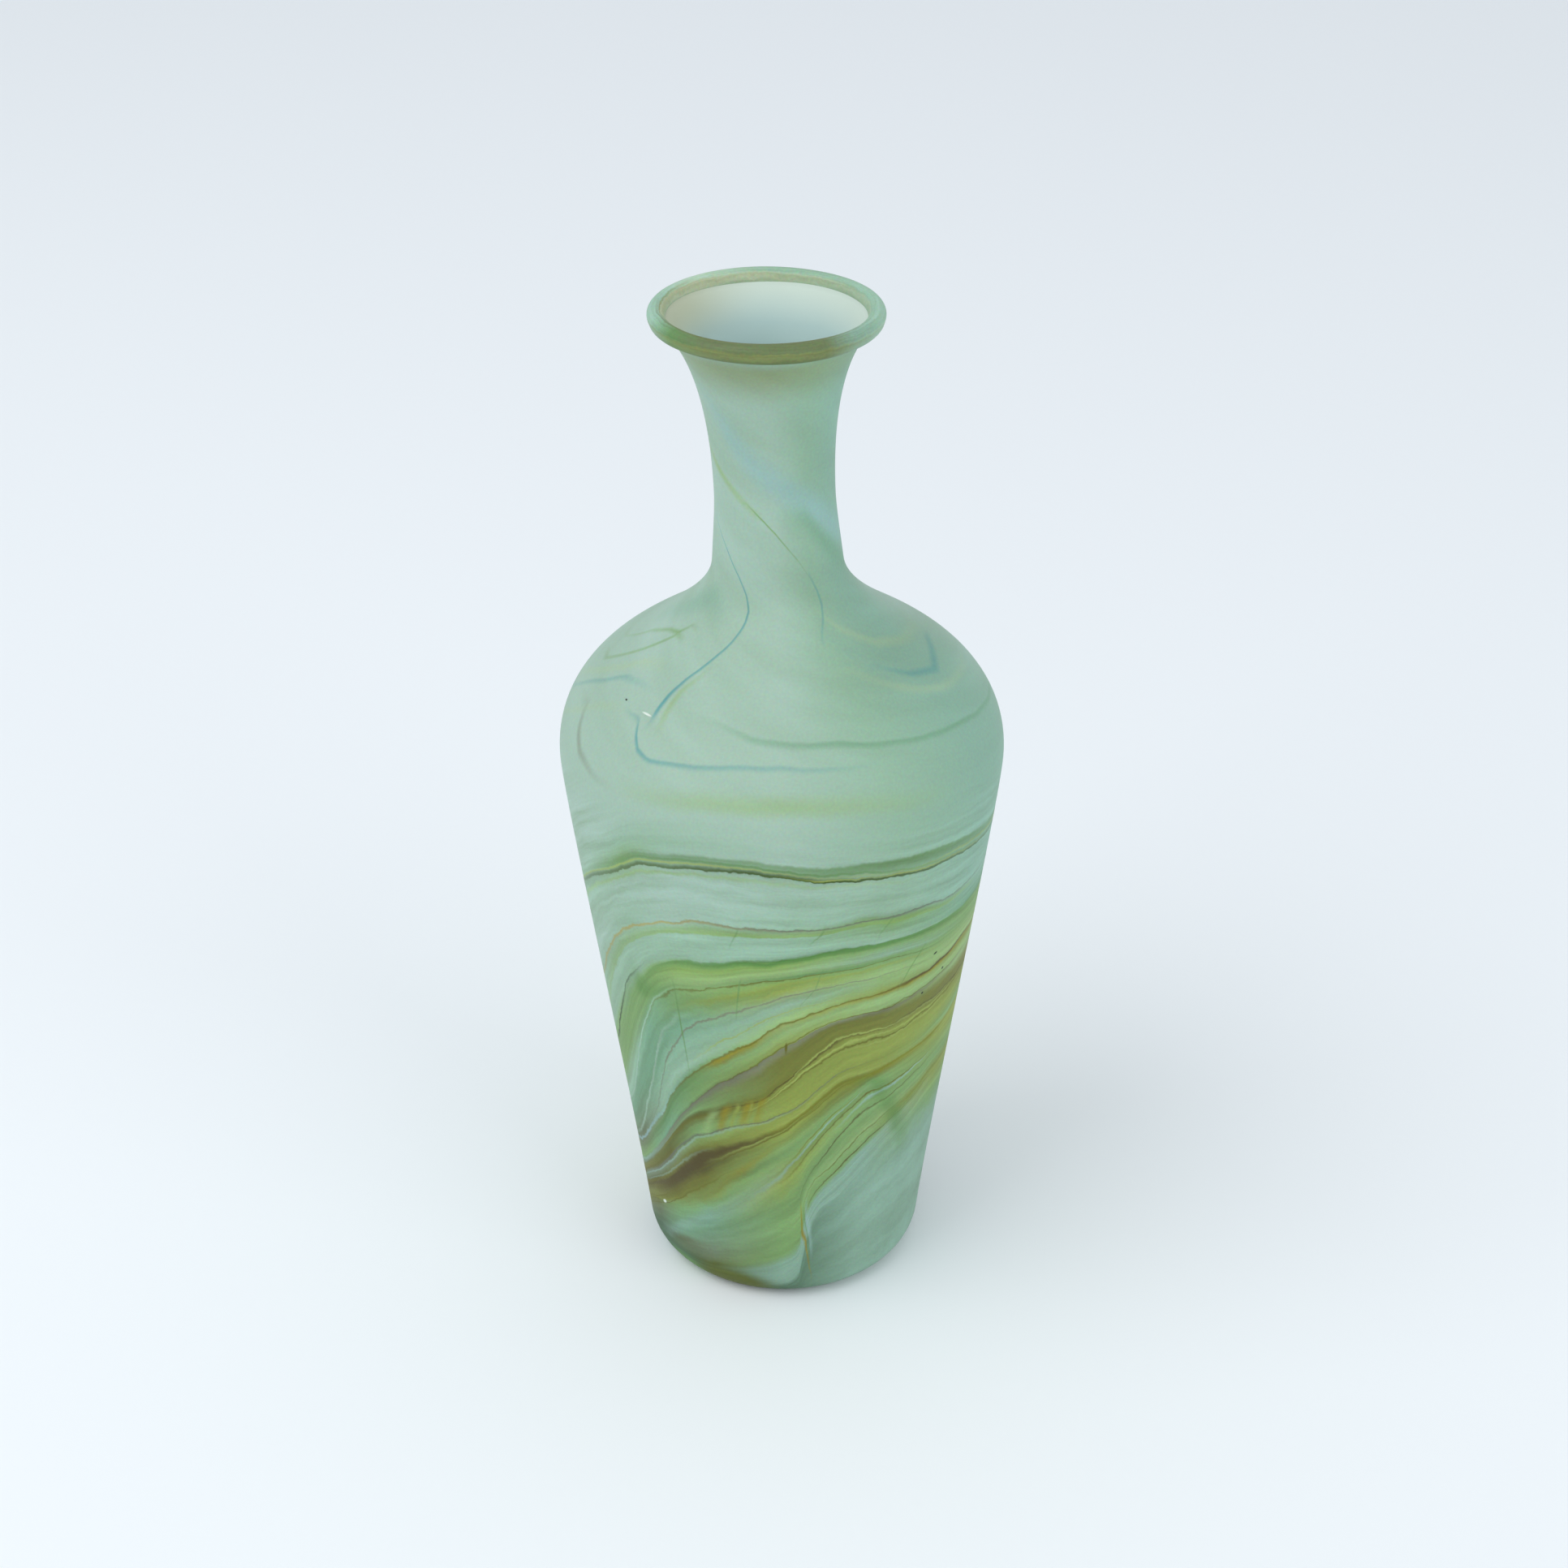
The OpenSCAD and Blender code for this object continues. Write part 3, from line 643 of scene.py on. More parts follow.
# What the glass looks like up the flow, at seven angles round the vase, of which 180 is
# the back. Each has (flow, colour) from the foot up.
GROUND = {
    # Painted shade: from the left round to the front the lowest flows are mostly a dark green-blue, standing
    # in for the shade near the foot.
    -62: [(0, "pond"), (0.9, "pale_teal_and_floor_light"), (1.3, "pond"), (2.3, "deep"), (2.8, "bruise"), (3.2, "olive"),
        (3.6, "olive"), (3.8, "bark"), (4.1, "bark"), (4.2, "bruise"), (4.4, "ash"), (4.55, "bark"),
        (4.9, "olive"), (5.05, "ash"), (5.4, "pale_teal_and_floor_light"), (5.55, "moss"), (6, "bruise"), (6.1, "bruise"),
        (6.7, "mint"), (7.1, "mist"), (7.5, "moss"), (8.15, "moss"), (8.3, "mist"), (8.8, "mist"),
        (9.1, "pale"), (9.9, "mist"), (11.2, "pale")],
    -45: [(0, "deep"), (1.8, "deep"), (2.3, "bruise"), (2.5, "mint"), (3.2, "moss"), (3.35, "olive"),
        (3.8, "umber"), (4, "umber"), (4.1, "olive"), (4.3, "ash"), (4.45, "bark"), (4.8, "earth"),
        (5, "olive"), (5.1, "ash"), (5.45, "ash"), (5.55, "mint"), (5.95, "fern"), (6.1, "mist"),
        (6.5, "mint"), (6.9, "mint"), (7.3, "moss"), (7.9, "moss"), (8.1, "mist"), (9.1, "mist"),
        (9.7, "pale"), (10.2, "moss"), (10.7, "mist"), (11.3, "pale")],
    -30: [(0, "earth"), (0.7, "ash"), (1.3, "deep"), (1.9, "earth"), (2.2, "ash"), (2.8, "mint"),
        (3.2, "moss"), (3.4, "olive"), (3.85, "umber"), (4.05, "umber"), (4.15, "olive"), (4.4, "moss"),
        (4.6, "moss"), (4.9, "bark"), (5.02, "earth"), (5.15, "moss"), (5.45, "bruise"), (5.55, "moss"),
        (6, "fern"), (6.1, "mist"), (6.6, "mint"), (6.85, "moss"), (7.2, "leaf"), (7.7, "grass"),
        (8, "moss"), (8.1, "mist"), (8.7, "mist"), (9.1, "pale"), (10, "pale"), (10.6, "mist"),
        (11.2, "pale")],
    0: [(0, "deep"), (0.9, "pond"), (1.15, "pale_teal_and_floor_light"), (1.7, "pale_teal_and_floor_light"), (2, "moss"), (2.6, "moss"),
        (2.9, "straw"), (3.3, "moss"), (3.85, "straw"), (3.95, "olive"), (4.1, "straw"), (4.7, "straw"),
        (4.9, "olive"), (5.4, "olive"), (5.52, "straw"), (5.8, "leaf"), (6.1, "leaf"), (6.4, "mist"),
        (6.7, "straw"), (6.95, "grass"), (7.05, "moss"), (7.3, "leaf"), (7.7, "grass"), (8, "pine"),
        (8.08, "aqua"), (9.1, "mist"), (9.9, "pale"), (11.2, "pale")],
    # Painted light at the lower right: here and at 62 degrees the lowest flows are a pale teal, made
    # brighter in place of light reflected up from the floor.
    30: [(0, "pale_teal_and_floor_light"), (1.8, "pale_teal_and_floor_light"), (2, "moss"), (2.3, "leaf"), (2.5, "moss"), (3.3, "moss"),
        (3.6, "olive"), (3.8, "amber"), (4, "straw"), (4.8, "straw"), (4.95, "olive"), (5.4, "olive"),
        (5.48, "leaf"), (5.85, "leaf"), (6, "straw"), (6.3, "leaf"), (6.7, "leaf"), (6.95, "moss"),
        (7.1, "moss"), (7.3, "mist"), (7.8, "moss"), (8, "fern"), (8.1, "mist"), (8.8, "moss"),
        (9, "moss"), (9.1, "mist"), (11.4, "aqua")],
    # Painted shade at the right: the upper flows here are a darker sea green for the side turned away from
    # the light.
    62: [(0, "pale_teal_and_floor_light"), (0.8, "pale_teal_and_floor_light"), (1, "moss"), (2, "straw"), (2.5, "moss"), (3.3, "straw"),
        (3.8, "straw"), (4.1, "moss"), (4.6, "straw"), (4.85, "olive"), (5.1, "olive"), (5.35, "leaf"),
        (5.6, "leaf"), (5.95, "straw"), (6.05, "leaf"), (6.5, "leaf"), (7.2, "moss"), (8.05, "moss"),
        (8.2, "mint"), (9, "sea"), (11.4, "sea")],
    180: [(0, "pond"), (1.4, "pale_teal_and_floor_light"), (2.2, "moss"), (2.9, "leaf"), (3.5, "straw"), (4.1, "bark"),
        (4.3, "leaf"), (4.8, "olive"), (5.3, "olive"), (5.5, "mist"), (6, "leaf"), (6.5, "mist"),
        (7, "leaf"), (7.6, "grass"), (8, "moss"), (8.2, "aqua"), (9, "mist"), (10, "pale"),
        (11.4, "pale")],
}

# Threads of colour that lie across the flow. Each has a colour, how far it fades upward and
# downward in flow, and its course as (angle, flow, strength).
THREADS = [
    # The ring: haze, lower edge, second line and bright core
    ("fern", 0.08, 0.42, [(-60, 10.25, 0.15), (-30, 10.25, 0.5), (0, 10.26, 0.6), (15, 10.3, 0.75),
        (36, 10.46, 0.8), (80, 10.3, 0.3), (180, 10.2, 0.3)]),
    ("lime", 0.05, 0.05, [(-80, 10.1, 0.5), (-25, 10.09, 0.65), (0, 10.07, 0.5), (15, 10.06, 0.2),
        (60, 10.2, 0.35), (180, 10.1, 0.4)]),
    ("fern", 0.05, 0.06, [(-60, 10.18, 0.1), (-35, 10.18, 0.5), (5, 10.13, 0.85), (20, 10.16, 0.7),
        (60, 10.1, 0.2)]),
    ("forest", 0.11, 0.02, [(-80, 10, 0.3), (-38, 9.96, 0.75), (6, 9.97, 1), (20, 9.92, 1),
        (29, 9.99, 0.9), (60, 9.98, 0.6), (75, 10.02, 0.35), (180, 10, 0.5)]),
    ("lime", 0.03, 0.03, [(6, 9.99, 0.2), (10, 9.99, 0.8), (20, 9.99, 0.6), (24, 10.02, 0.3),
        (30, 10.05, 0.8), (42, 10.06, 0.7), (60, 10.04, 0.2)]),
    ("leaf", 0.05, 0.05, [(-75, 9.84, 0.4), (-40, 9.86, 0.6), (30, 9.85, 0.2)]),
    # Fawn thread and the green one below it
    ("grass", 0.25, 0.04, [(-75, 8.5, 0.2), (-60, 8.64, 0.4), (-45, 8.71, 0.5), (-10, 8.78, 0.8),
        (25, 8.84, 0.65), (45, 8.82, 0.5), (60, 8.85, 0.3)]),
    ("tan", 0.03, 0.05, [(-75, 8.82, 0.6), (-45, 8.97, 0.9), (-25, 9, 0.8), (10, 9, 0.1)]),
    ("steel", 0.02, 0.06, [(-25, 9.01, 0.2), (-8, 9.01, 0.6), (10, 9.02, 0.7), (22, 8.98, 0.7),
        (30, 9.05, 0.7), (45, 9.1, 0.6), (55, 9.05, 0.5), (64, 9.1, 0.25)]),
    # Green band: its dark upper edge, the fold at the left and the black line over it
    ("pine", 0.05, 0.26, [(-42, 7.85, 0.2), (-30, 8, 0.5), (-20, 8.05, 0.6), (-10, 7.97, 0.8),
        (-4, 7.86, 0.9), (0, 8.02, 0.9), (4, 7.94, 0.9), (12, 8.02, 0.85), (48, 8.07, 0.7),
        (60, 8.1, 0.4), (70, 8.2, 0.15)]),
    ("pine", 0.5, 0.25, [(-49, 8, 0.1), (-46.5, 7.75, 0.45), (-44, 7.45, 0.5), (-41.5, 7.25, 0.45),
        (-37, 7.08, 0.3), (-32, 7, 0.1)]),
    ("ink", 0.025, 0.045, [(-80, 8.05, 0.2), (-66, 8.12, 0.8), (-60, 8.15, 0.75), (-56, 8.19, 0.4),
        (-53, 8.23, 0.6), (-48, 8.14, 0.2)]),
    # Moss thread, its smudge, and the pale lines that join it at the left
    ("fern", 0.16, 0.02, [(-14, 6.99, 0), (8, 7, 0.75), (20, 7, 0.75), (38, 6.98, 0.25)]),
    ("bark", 0.022, 0.028, [(-48, 7, 0.1), (-35, 6.97, 0.5), (-20, 7, 0.65), (0, 6.98, 0.75),
        (30, 6.99, 0.55), (42, 6.97, 0.3), (50, 7, 0.1)]),
    ("pale", 0.03, 0.05, [(-80, 6.92, 0.4), (-62, 6.88, 0.5), (-50, 7.05, 0.6), (-40, 7.03, 0.2)]),
    ("pale", 0.04, 0.06, [(-75, 6.18, 0.3), (-62, 6.25, 0.5), (-48, 6.47, 0.6), (-43, 6.6, 0.5),
        (-36, 6.68, 0.2)]),
    ("straw", 0.07, 0.07, [(-30, 6.8, 0.1), (-20, 6.82, 0.5), (0, 6.86, 0.6), (30, 6.84, 0.5),
        (45, 6.82, 0.2)]),
    ("lilac", 0.022, 0.028, [(-52, 6.1, 0.1), (-46, 6.2, 0.4), (-40, 6.36, 0.7), (-34, 6.42, 0.7),
        (-30, 6.53, 0.75), (-20, 6.59, 0.75), (18, 6.58, 0.7), (42, 6.5, 0.15)]),
    ("lime", 0.02, 0.025, [(-24, 6.15, 0.2), (-18, 6.23, 0.7), (-12, 6.22, 0.4), (-8, 6.27, 0.7),
        (15, 6.2, 0.2)]),
    # Amber thread
    ("sky", 0.04, 0.04, [(-85, 6.08, 0.4), (-70, 6.05, 0.6), (-55, 6.06, 0.5), (-38, 6.03, 0.1)]),
    ("gold", 0.04, 0.17, [(-26, 5.98, 0.1), (-21, 5.98, 0.95), (-9, 5.98, 0.8), (-3, 5.98, 0.3),
        (20, 5.99, 0.4), (30, 5.98, 0.6), (52, 6.04, 0.9), (72, 5.98, 0.3)]),
    ("bark", 0.025, 0.04, [(-52, 6.01, 0.2), (-24, 5.98, 0.7), (-18, 6.02, 0.7), (-10, 5.98, 0.7),
        (0, 6, 0.7), (3, 5.95, 0.8), (8, 6, 0.8), (18, 6, 0.6), (32, 5.98, 0.7)]),
    ("umber", 0.07, 0.09, [(30, 5.97, 0.1), (40, 6.03, 0.9), (47, 6.03, 0.95), (51, 6.1, 1),
        (56, 6.06, 1), (62, 6.07, 0.7), (78, 5.98, 0.1)]),
    # Lilac thread over the broad band
    ("lilac", 0.02, 0.15, [(-60, 5.48, 0.1), (-30, 5.5, 0.9), (22, 5.48, 0.75), (36, 5.37, 0.6),
        (42, 5.43, 0.6), (52, 5.43, 0.4), (64, 5.48, 0.3)]),
    ("bark", 0.025, 0.02, [(-32, 5.5, 0.1), (-15, 5.5, 0.6), (10, 5.53, 0.7), (20, 5.51, 0.75),
        (34, 5.38, 0.7), (38, 5.49, 0.7), (41, 5.42, 0.7), (45, 5.47, 0.6), (55, 5.43, 0.6),
        (62, 5.5, 0.3)]),
    # Lower edge of the broad band, with bright and dark lines
    ("umber", 0.025, 0.035, [(-24, 5, 0.1), (-21, 5.03, 0.6), (-18, 4.99, 0.5), (-11, 4.97, 0.85),
        (-7, 4.93, 0.7), (0, 4.93, 0.8), (8, 4.87, 0.7), (18, 4.93, 0.6), (62, 4.9, 0.6),
        (78, 4.85, 0.3)]),
    ("lime", 0.022, 0.022, [(-2, 4.86, 0.3), (8, 4.9, 0.7), (16, 4.94, 0.8), (28, 4.93, 0.8),
        (40, 4.9, 0.5), (56, 4.88, 0.4)]),
    ("lime", 0.025, 0.03, [(-12, 4.78, 0.3), (0, 4.82, 0.7), (10, 4.8, 0.8), (25, 4.84, 0.8),
        (40, 4.8, 0.7), (70, 4.85, 0.3)]),
    ("bark", 0.02, 0.025, [(0, 4.79, 0.4), (12, 4.76, 0.7), (28, 4.78, 0.8), (36, 4.71, 0.7),
        (46, 4.77, 0.6), (64, 4.8, 0.4)]),
    ("lime", 0.022, 0.03, [(22, 4.73, 0.4), (33, 4.68, 0.9), (54, 4.74, 0.5)]),
    # Grey-blue thread under it
    ("steel", 0.07, 0.02, [(-64, 4.4, 0.4), (-50, 4.38, 0.7), (-36, 4.38, 0.6), (-26, 4.4, 0.3)]),
    ("steel", 0.02, 0.03, [(-36, 4.38, 0.3), (-26, 4.4, 0.75), (-4, 4.38, 0.7), (15, 4.42, 0.5),
        (22, 4.38, 0.2)]),
    ("ice", 0.025, 0.045, [(-76, 4.36, 0.2), (-60, 4.36, 0.4), (-42, 4.31, 0.35), (-24, 4.37, 0.3),
        (-8, 4.34, 0.2), (6, 4.36, 0.1)]),
    ("ice", 0.03, 0.04, [(-66, 4.16, 0.2), (-40, 4.12, 0.3), (-33, 4.1, 0.1)]),
    # Brown core of the lower band and what runs on from it to the right
    ("umber", 0.09, 0.12, [(-85, 3.98, 0.3), (-66, 3.97, 0.4), (-50, 3.93, 0.75), (-27, 4, 1),
        (-18, 3.98, 0.9), (-10, 3.95, 0.6), (6, 3.97, 0.4), (20, 3.93, 0.3)]),
    ("bark", 0.02, 0.03, [(-30, 3.78, 0.5), (-22, 3.8, 0.8), (0, 3.89, 0.7), (12, 3.83, 0.6),
        (24, 3.84, 0.3)]),
    ("lime", 0.03, 0.03, [(-22, 3.86, 0.1), (-8, 3.91, 0.5), (5, 3.94, 0.5), (18, 3.88, 0.3)]),
    ("amber", 0.1, 0.16, [(0, 4, 0.4), (20, 3.93, 0.7), (26, 3.85, 0.85), (30, 3.74, 1), (34, 3.82, 0.9),
        (42, 3.88, 0.8), (48, 3.84, 0.8), (54, 3.72, 0.9), (70, 3.98, 0.3)]),
    ("lime", 0.1, 0.08, [(5, 4.12, 0.2), (14, 4.2, 0.5), (22, 4.15, 0.4), (28, 4, 0.2)]),
    # Lower edges at the left, and the amber haze that runs out of them
    ("gold", 0.14, 0.14, [(-38, 3.2, 0.15), (-25, 3.24, 0.3), (-14, 3.38, 0.4), (-2, 3.62, 0.1)]),
    ("bark", 0.04, 0.05, [(-80, 3.3, 0.3), (-63, 3.3, 0.7), (-58, 3.5, 0.8), (-50, 3.6, 0.6),
        (-40, 3.65, 0.2)]),
    ("bark", 0.03, 0.03, [(-76, 3, 0.2), (-60, 2.97, 0.8), (-56, 3.1, 0.5), (-51, 3.24, 0.8),
        (-46, 3.34, 0.8), (-22, 3.44, 0.2)]),
    # Fan at the lower right
    ("olive", 0.03, 0.03, [(0, 3.05, 0.2), (10, 3.21, 0.8), (16, 3.24, 0.8), (27, 3.1, 0.2)]),
    ("ice", 0.04, 0.05, [(-5, 2.95, 0.3), (14, 3.13, 0.6), (22, 3.08, 0.3)]),
    ("bark", 0.022, 0.03, [(3, 2.9, 0.3), (12, 2.96, 0.6), (20, 2.96, 0.6), (31, 2.87, 0.95),
        (38, 2.88, 0.9), (46, 2.94, 0.7), (52, 2.95, 0.2)]),
    ("ice", 0.03, 0.05, [(24, 2.83, 0.3), (32, 2.81, 0.7), (40, 2.83, 0.7), (48, 2.9, 0.4)]),
    ("umber", 0.025, 0.035, [(11, 2.53, 0.3), (17, 2.6, 0.7), (24, 2.66, 0.65), (30, 2.63, 0.5),
        (37, 2.6, 0.7), (50, 2.7, 0.3)]),
    ("bark", 0.02, 0.025, [(11, 2.28, 0.4), (18, 2.21, 0.7), (26, 2.26, 0.6), (46, 2.24, 0.2)]),
    ("umber", 0.02, 0.04, [(12, 2.04, 0.5), (20, 2.04, 0.8), (26, 2.04, 0.85), (32, 2.05, 0.6),
        (38, 1.98, 0.6), (46, 1.95, 0.5), (56, 1.98, 0.3)]),
    ("amber", 0.15, 0.12, [(40, 2.15, 0.2), (47, 2.15, 0.5), (70, 2.15, 0.3)]),
    ("ice", 0.2, 0.22, [(-56, 2.3, 0.2), (-45, 2.65, 0.3), (-32, 2.88, 0.3), (-4, 3.02, 0.1)]),
]

# Streaks that run across the threads: a colour, how far it fades in degrees to each side,
# and its course as (flow, angle, strength).
UPRIGHTS = [
    # Patches under the hill of the broad band
    ("leaf", 2.4, 3, [(4.46, -27, 0.5), (4.7, -25.5, 0.6), (4.95, -23, 0.5)]),
    ("gold", 2.6, 2.2, [(4.46, -21.3, 0.5), (4.7, -20.3, 0.65), (4.96, -19, 0.6)]),
    ("straw", 1.2, 1.2, [(4.46, -17.4, 0.6), (4.7, -16.2, 0.8), (4.93, -14.6, 0.7)]),
    ("gold", 3, 2, [(4.46, -13.6, 0.4), (4.7, -12.4, 0.65), (4.93, -11.3, 0.65)]),
    ("straw", 0.7, 0.7, [(4.46, -12.2, 0.4), (4.9, -10, 0.5)]),
    ("gold", 3, 1.5, [(4.46, -9, 0.3), (4.88, -7, 0.6)]),
    # Hook, streaks and fine cracks
    ("gold", 0.35, 0.35, [(0.25, 11.5, 0.1), (0.45, 10.3, 0.5), (0.8, 9, 0.8), (1.8, 7.3, 0.9),
        (2.2, 6.8, 0.7), (2.4, 6.4, 0.2)]),
    ("fern", 0.25, 0.25, [(0.4, 10.8, 0.2), (0.8, 9.6, 0.5), (2, 7.9, 0.5), (2.3, 7.3, 0.1)]),
    ("ice", 0.9, 0.5, [(0.6, 11, 0.2), (1.1, 9.6, 0.6), (1.8, 8.6, 0.6), (2.15, 8.2, 0.2)]),
    ("pine", 5, 3.5, [(0.9, 47, 0.1), (1.4, 43, 0.35), (1.9, 41.6, 0.5), (2.3, 38.6, 0.4),
        (2.7, 34, 0.25), (3.1, 31.5, 0.35), (3.8, 25, 0.1)]),
    ("fern", 0.4, 0.4, [(5.95, -30.6, 0.1), (6.4, -31.3, 0.6), (6.52, -31.6, 0.9), (7.3, -32.6, 0.1)]),
    ("fern", 0.4, 0.4, [(6.55, -13.3, 0.3), (6.9, -12.2, 0.6), (7.15, -11.5, 0.3)]),
    ("fern", 0.4, 0.4, [(6.3, 5, 0.1), (6.6, 9.2, 0.4), (7.1, 11, 0.2)]),
    ("pine", 0.5, 0.5, [(5.9, 35, 0.1), (6.3, 37.6, 0.4), (6.8, 41, 0.4), (7.2, 43.5, 0.2)]),
    ("fern", 0.4, 0.4, [(8.5, -14, 0.1), (8.8, -12.2, 0.5), (8.95, -11.5, 0.2)]),
    ("fern", 0.6, 0.6, [(8.5, 7.4, 0.1), (8.8, 10.2, 0.6), (9, 11, 0.2)]),
    ("fern", 0.5, 0.5, [(8.4, 26.5, 0.1), (8.8, 29, 0.6), (9.02, 30.2, 0.2)]),
]

# Lines on the neck and shoulder: as the threads above, but with heights in millimetres in
# place of flow.
HIGH_THREADS = [
    ("reed", 3, 9, [(-80, 243, 0.1), (-50, 242.5, 0.4), (0, 242, 0.5), (80, 243, 0.1)]),
    ("smoke", 6, 6, [(-60, 232, 0.1), (-40, 225, 0.5), (-18, 218, 0.5), (40, 207, 0.55), (60, 202, 0.5),
        (90, 197, 0.2)]),
    ("mint", 4, 5, [(10, 206, 0.1), (30, 205, 0.4), (50, 198, 0.5), (75, 192, 0.4), (100, 187, 0.1)]),
    ("leaf", 1.6, 1.8, [(-80, 219, 0.2), (-60, 215, 0.7), (-18, 206.5, 0.3)]),
    ("moss", 0.35, 0.45, [(-26, 208.6, 0.2), (-18, 206.8, 0.7), (-10, 205, 0.9), (0, 202.2, 0.8),
        (20, 195.5, 0.3), (30, 191, 0.1)]),
    ("mint", 0.5, 0.9, [(-22, 166.5, 0.1), (-10, 164.6, 0.4), (20, 163.6, 0.6), (65, 158.6, 0.7),
        (110, 152, 0.1)]),
    ("teal", 0.5, 0.8, [(-51, 162.9, 0.3), (-48, 160.5, 0.8), (-45, 158.8, 0.7), (-40, 158, 0.55),
        (-15, 160.3, 0.35), (0, 160.8, 0.25), (20, 159.8, 0.1)]),
    ("sea", 5, 4, [(-100, 174, 0.2), (-80, 180, 0.6), (-60, 184, 0.6), (-42, 182, 0.1)]),
    ("chalk", 1.4, 1.6, [(-98, 157, 0.2), (-84, 163.5, 0.45), (-72, 168.5, 0.5), (-62, 170.5, 0.2)]),
    ("teal", 0.8, 1, [(-96, 154, 0.1), (-84, 160.5, 0.25), (-72, 165.5, 0.3), (-62, 167, 0.1)]),
    ("chalk", 1.2, 1.4, [(-92, 149, 0.2), (-70, 160, 0.4), (-62, 162.5, 0.1)]),
    ("chalk", 1.2, 1.4, [(30, 184, 0.1), (44, 179, 0.4), (60, 175, 0.45), (78, 172, 0.35),
        (100, 170, 0.1)]),
    ("sea", 3, 3, [(28, 180, 0.1), (42, 175, 0.45), (60, 170.5, 0.5), (80, 167, 0.4), (100, 165, 0.1)]),
    ("chalk", 1, 1.2, [(34, 173, 0.1), (50, 168.5, 0.35), (68, 164.5, 0.4), (90, 162, 0.15)]),
    ("moss", 0.7, 0.7, [(-100, 166, 0.1), (-90, 171, 0.3), (-78, 174.2, 0.5), (-70, 175.2, 0.7),
        (-64, 177.5, 0.2)]),
    ("moss", 0.8, 0.8, [(-92, 163, 0.3), (-74, 172.5, 0.6), (-69, 175, 0.5)]),
    ("lilac", 1.4, 1.4, [(-76, 158, 0.1), (-71, 154, 0.35), (-66, 151.5, 0.35), (-56, 149.5, 0.1)]),
    ("leaf", 3, 2.5, [(-40, 151, 0.1), (-20, 153.5, 0.4), (0, 154, 0.5), (20, 153, 0.3),
        (40, 150, 0.1)]),
    ("teal", 0.9, 0.9, [(50, 172, 0.1), (62, 168.5, 0.4), (75, 166.5, 0.5), (92, 168, 0.3)]),
]

HIGH_UPRIGHTS = [
    ("teal", 1.5, 0.9, [(163.6, -46.4, 0.2), (165, -47, 0.95), (168, -46.8, 0.9), (171, -44, 0.75),
        (175, -37, 0.75), (179, -28.5, 0.7), (181.5, -24.8, 0.8), (184, -23.8, 0.85), (187, -27.5, 0.7),
        (191, -35.5, 0.65), (195.5, -48, 0.65), (199, -59, 0.5), (202, -72, 0.15)]),
    ("leaf", 2.2, 1.4, [(163, -42, 0.1), (166, -43.5, 0.5), (169, -43, 0.4), (173, -37, 0.1)]),
    ("teal", 1.4, 1.4, [(179, 27, 0.15), (182, 33, 0.4), (185, 36.3, 0.5), (188, 35, 0.45),
        (192, 29, 0.15)]),
]

# Marks with a soft outline: colour, field across and along, centre and half size in each
SPECKS = [
    ("white", "flow", (-55.8, 3.2), (1.3, 0.12)),
    ("ink", "flow", (48.8, 6.55), (0.8, 0.05)),
    ("ink", "flow", (54.2, 5.57), (0.5, 0.05)),
    ("ink", "flow", (45.5, 5.28), (0.5, 0.035)),
    ("bark", "flow", (1, 5.48), (0.45, 0.1)),
    ("white", "height", (-49.5, 163.9), (2.2, 0.16)),
    ("ink", "height", (-61.5, 163.9), (0.6, 0.14)),
    ("fern", "height", (-46, 2.5), (14, 3.5)),
    ("earth", "height", (-22, 4), (18, 4.5)),
]

# ---- Pattern: the colours above put together as shader nodes ----

# Each field is divided by its span, because a ramp runs from 0 to 1
SPANS = {"flow": 14.0, "turn": 360.0, "height": 260.0, "roll": 360.0}
# How far past its last point a thread fades out, along each field
END_FADE = {"flow": 0.12, "turn": 9.0, "height": 1.5}
# Under the etched surface faint threads all but vanish: strengths between 0 and 1 are
# raised to this power, and the fades at both sides are stretched by SPREAD
BOLDNESS = 0.75
SPREAD = 1.2

# Noise in the colour: (size per mm, amount) that bends the threads
FLOW_WANDER = [(0.2, 0.12), (0.9, 0.05)]
HEIGHT_WANDER = [(0.08, 1.2)]
ROLL_WANDER = [(0.25, 30), (1.1, 12)]
# Mottling runs from a dark yellowish tone to a light bluish one
MOTTLE_DARK = (0.1, 0.1, 0.0, 1)
MOTTLE_LIGHT = (0.9, 0.92, 1.0, 1)
# Streaks: (size per mm round the vase, size per unit of the field), fade over mm of height
STREAK_SIZE = (0.03, 4.5)
STREAK_STRENGTH = 0.62
STREAKS_END_Z = (152, 132)
LIP_STREAK_SIZE = (0.06, 0.07)
LIP_STREAK_STRENGTH = 0.5
SWIRL_TURN = math.radians(4.5)
SWIRL_SIZE = 0.055
SWIRL_STRENGTH = 0.3
SWIRL_START_Z = (140, 175)
GRAIN_SIZE = 1.6
GRAIN_STRENGTH = 0.16
LIP_GRAIN_STRENGTH = 0.22
# Inside the mouth the left of the inner wall is tan: degrees from the left, and mm of height
TAN_AROUND = (90, 25)
TAN_RISE = (236, 246)
TAN_STRENGTH = 0.45
# Painted light: the inside of the mouth is pale and bright, brightest near the lip, in place of light that
# comes in through the far wall.
INSIDE_LIGHT = [(0, colour("pale")), (0.8, colour("clear")), (0.922, colour("clear")), (0.945, colour("cream"))]
# The back palette fades in over these degrees from the front
BACK_FROM = (72, 125)

BLOCK_SIZE = 10
# Cycles works every ramp out at once and runs out of room, unless each waits for the one
# before it: so each thread adds this much of its own share to the next one's input.
WAIT = 1e-7


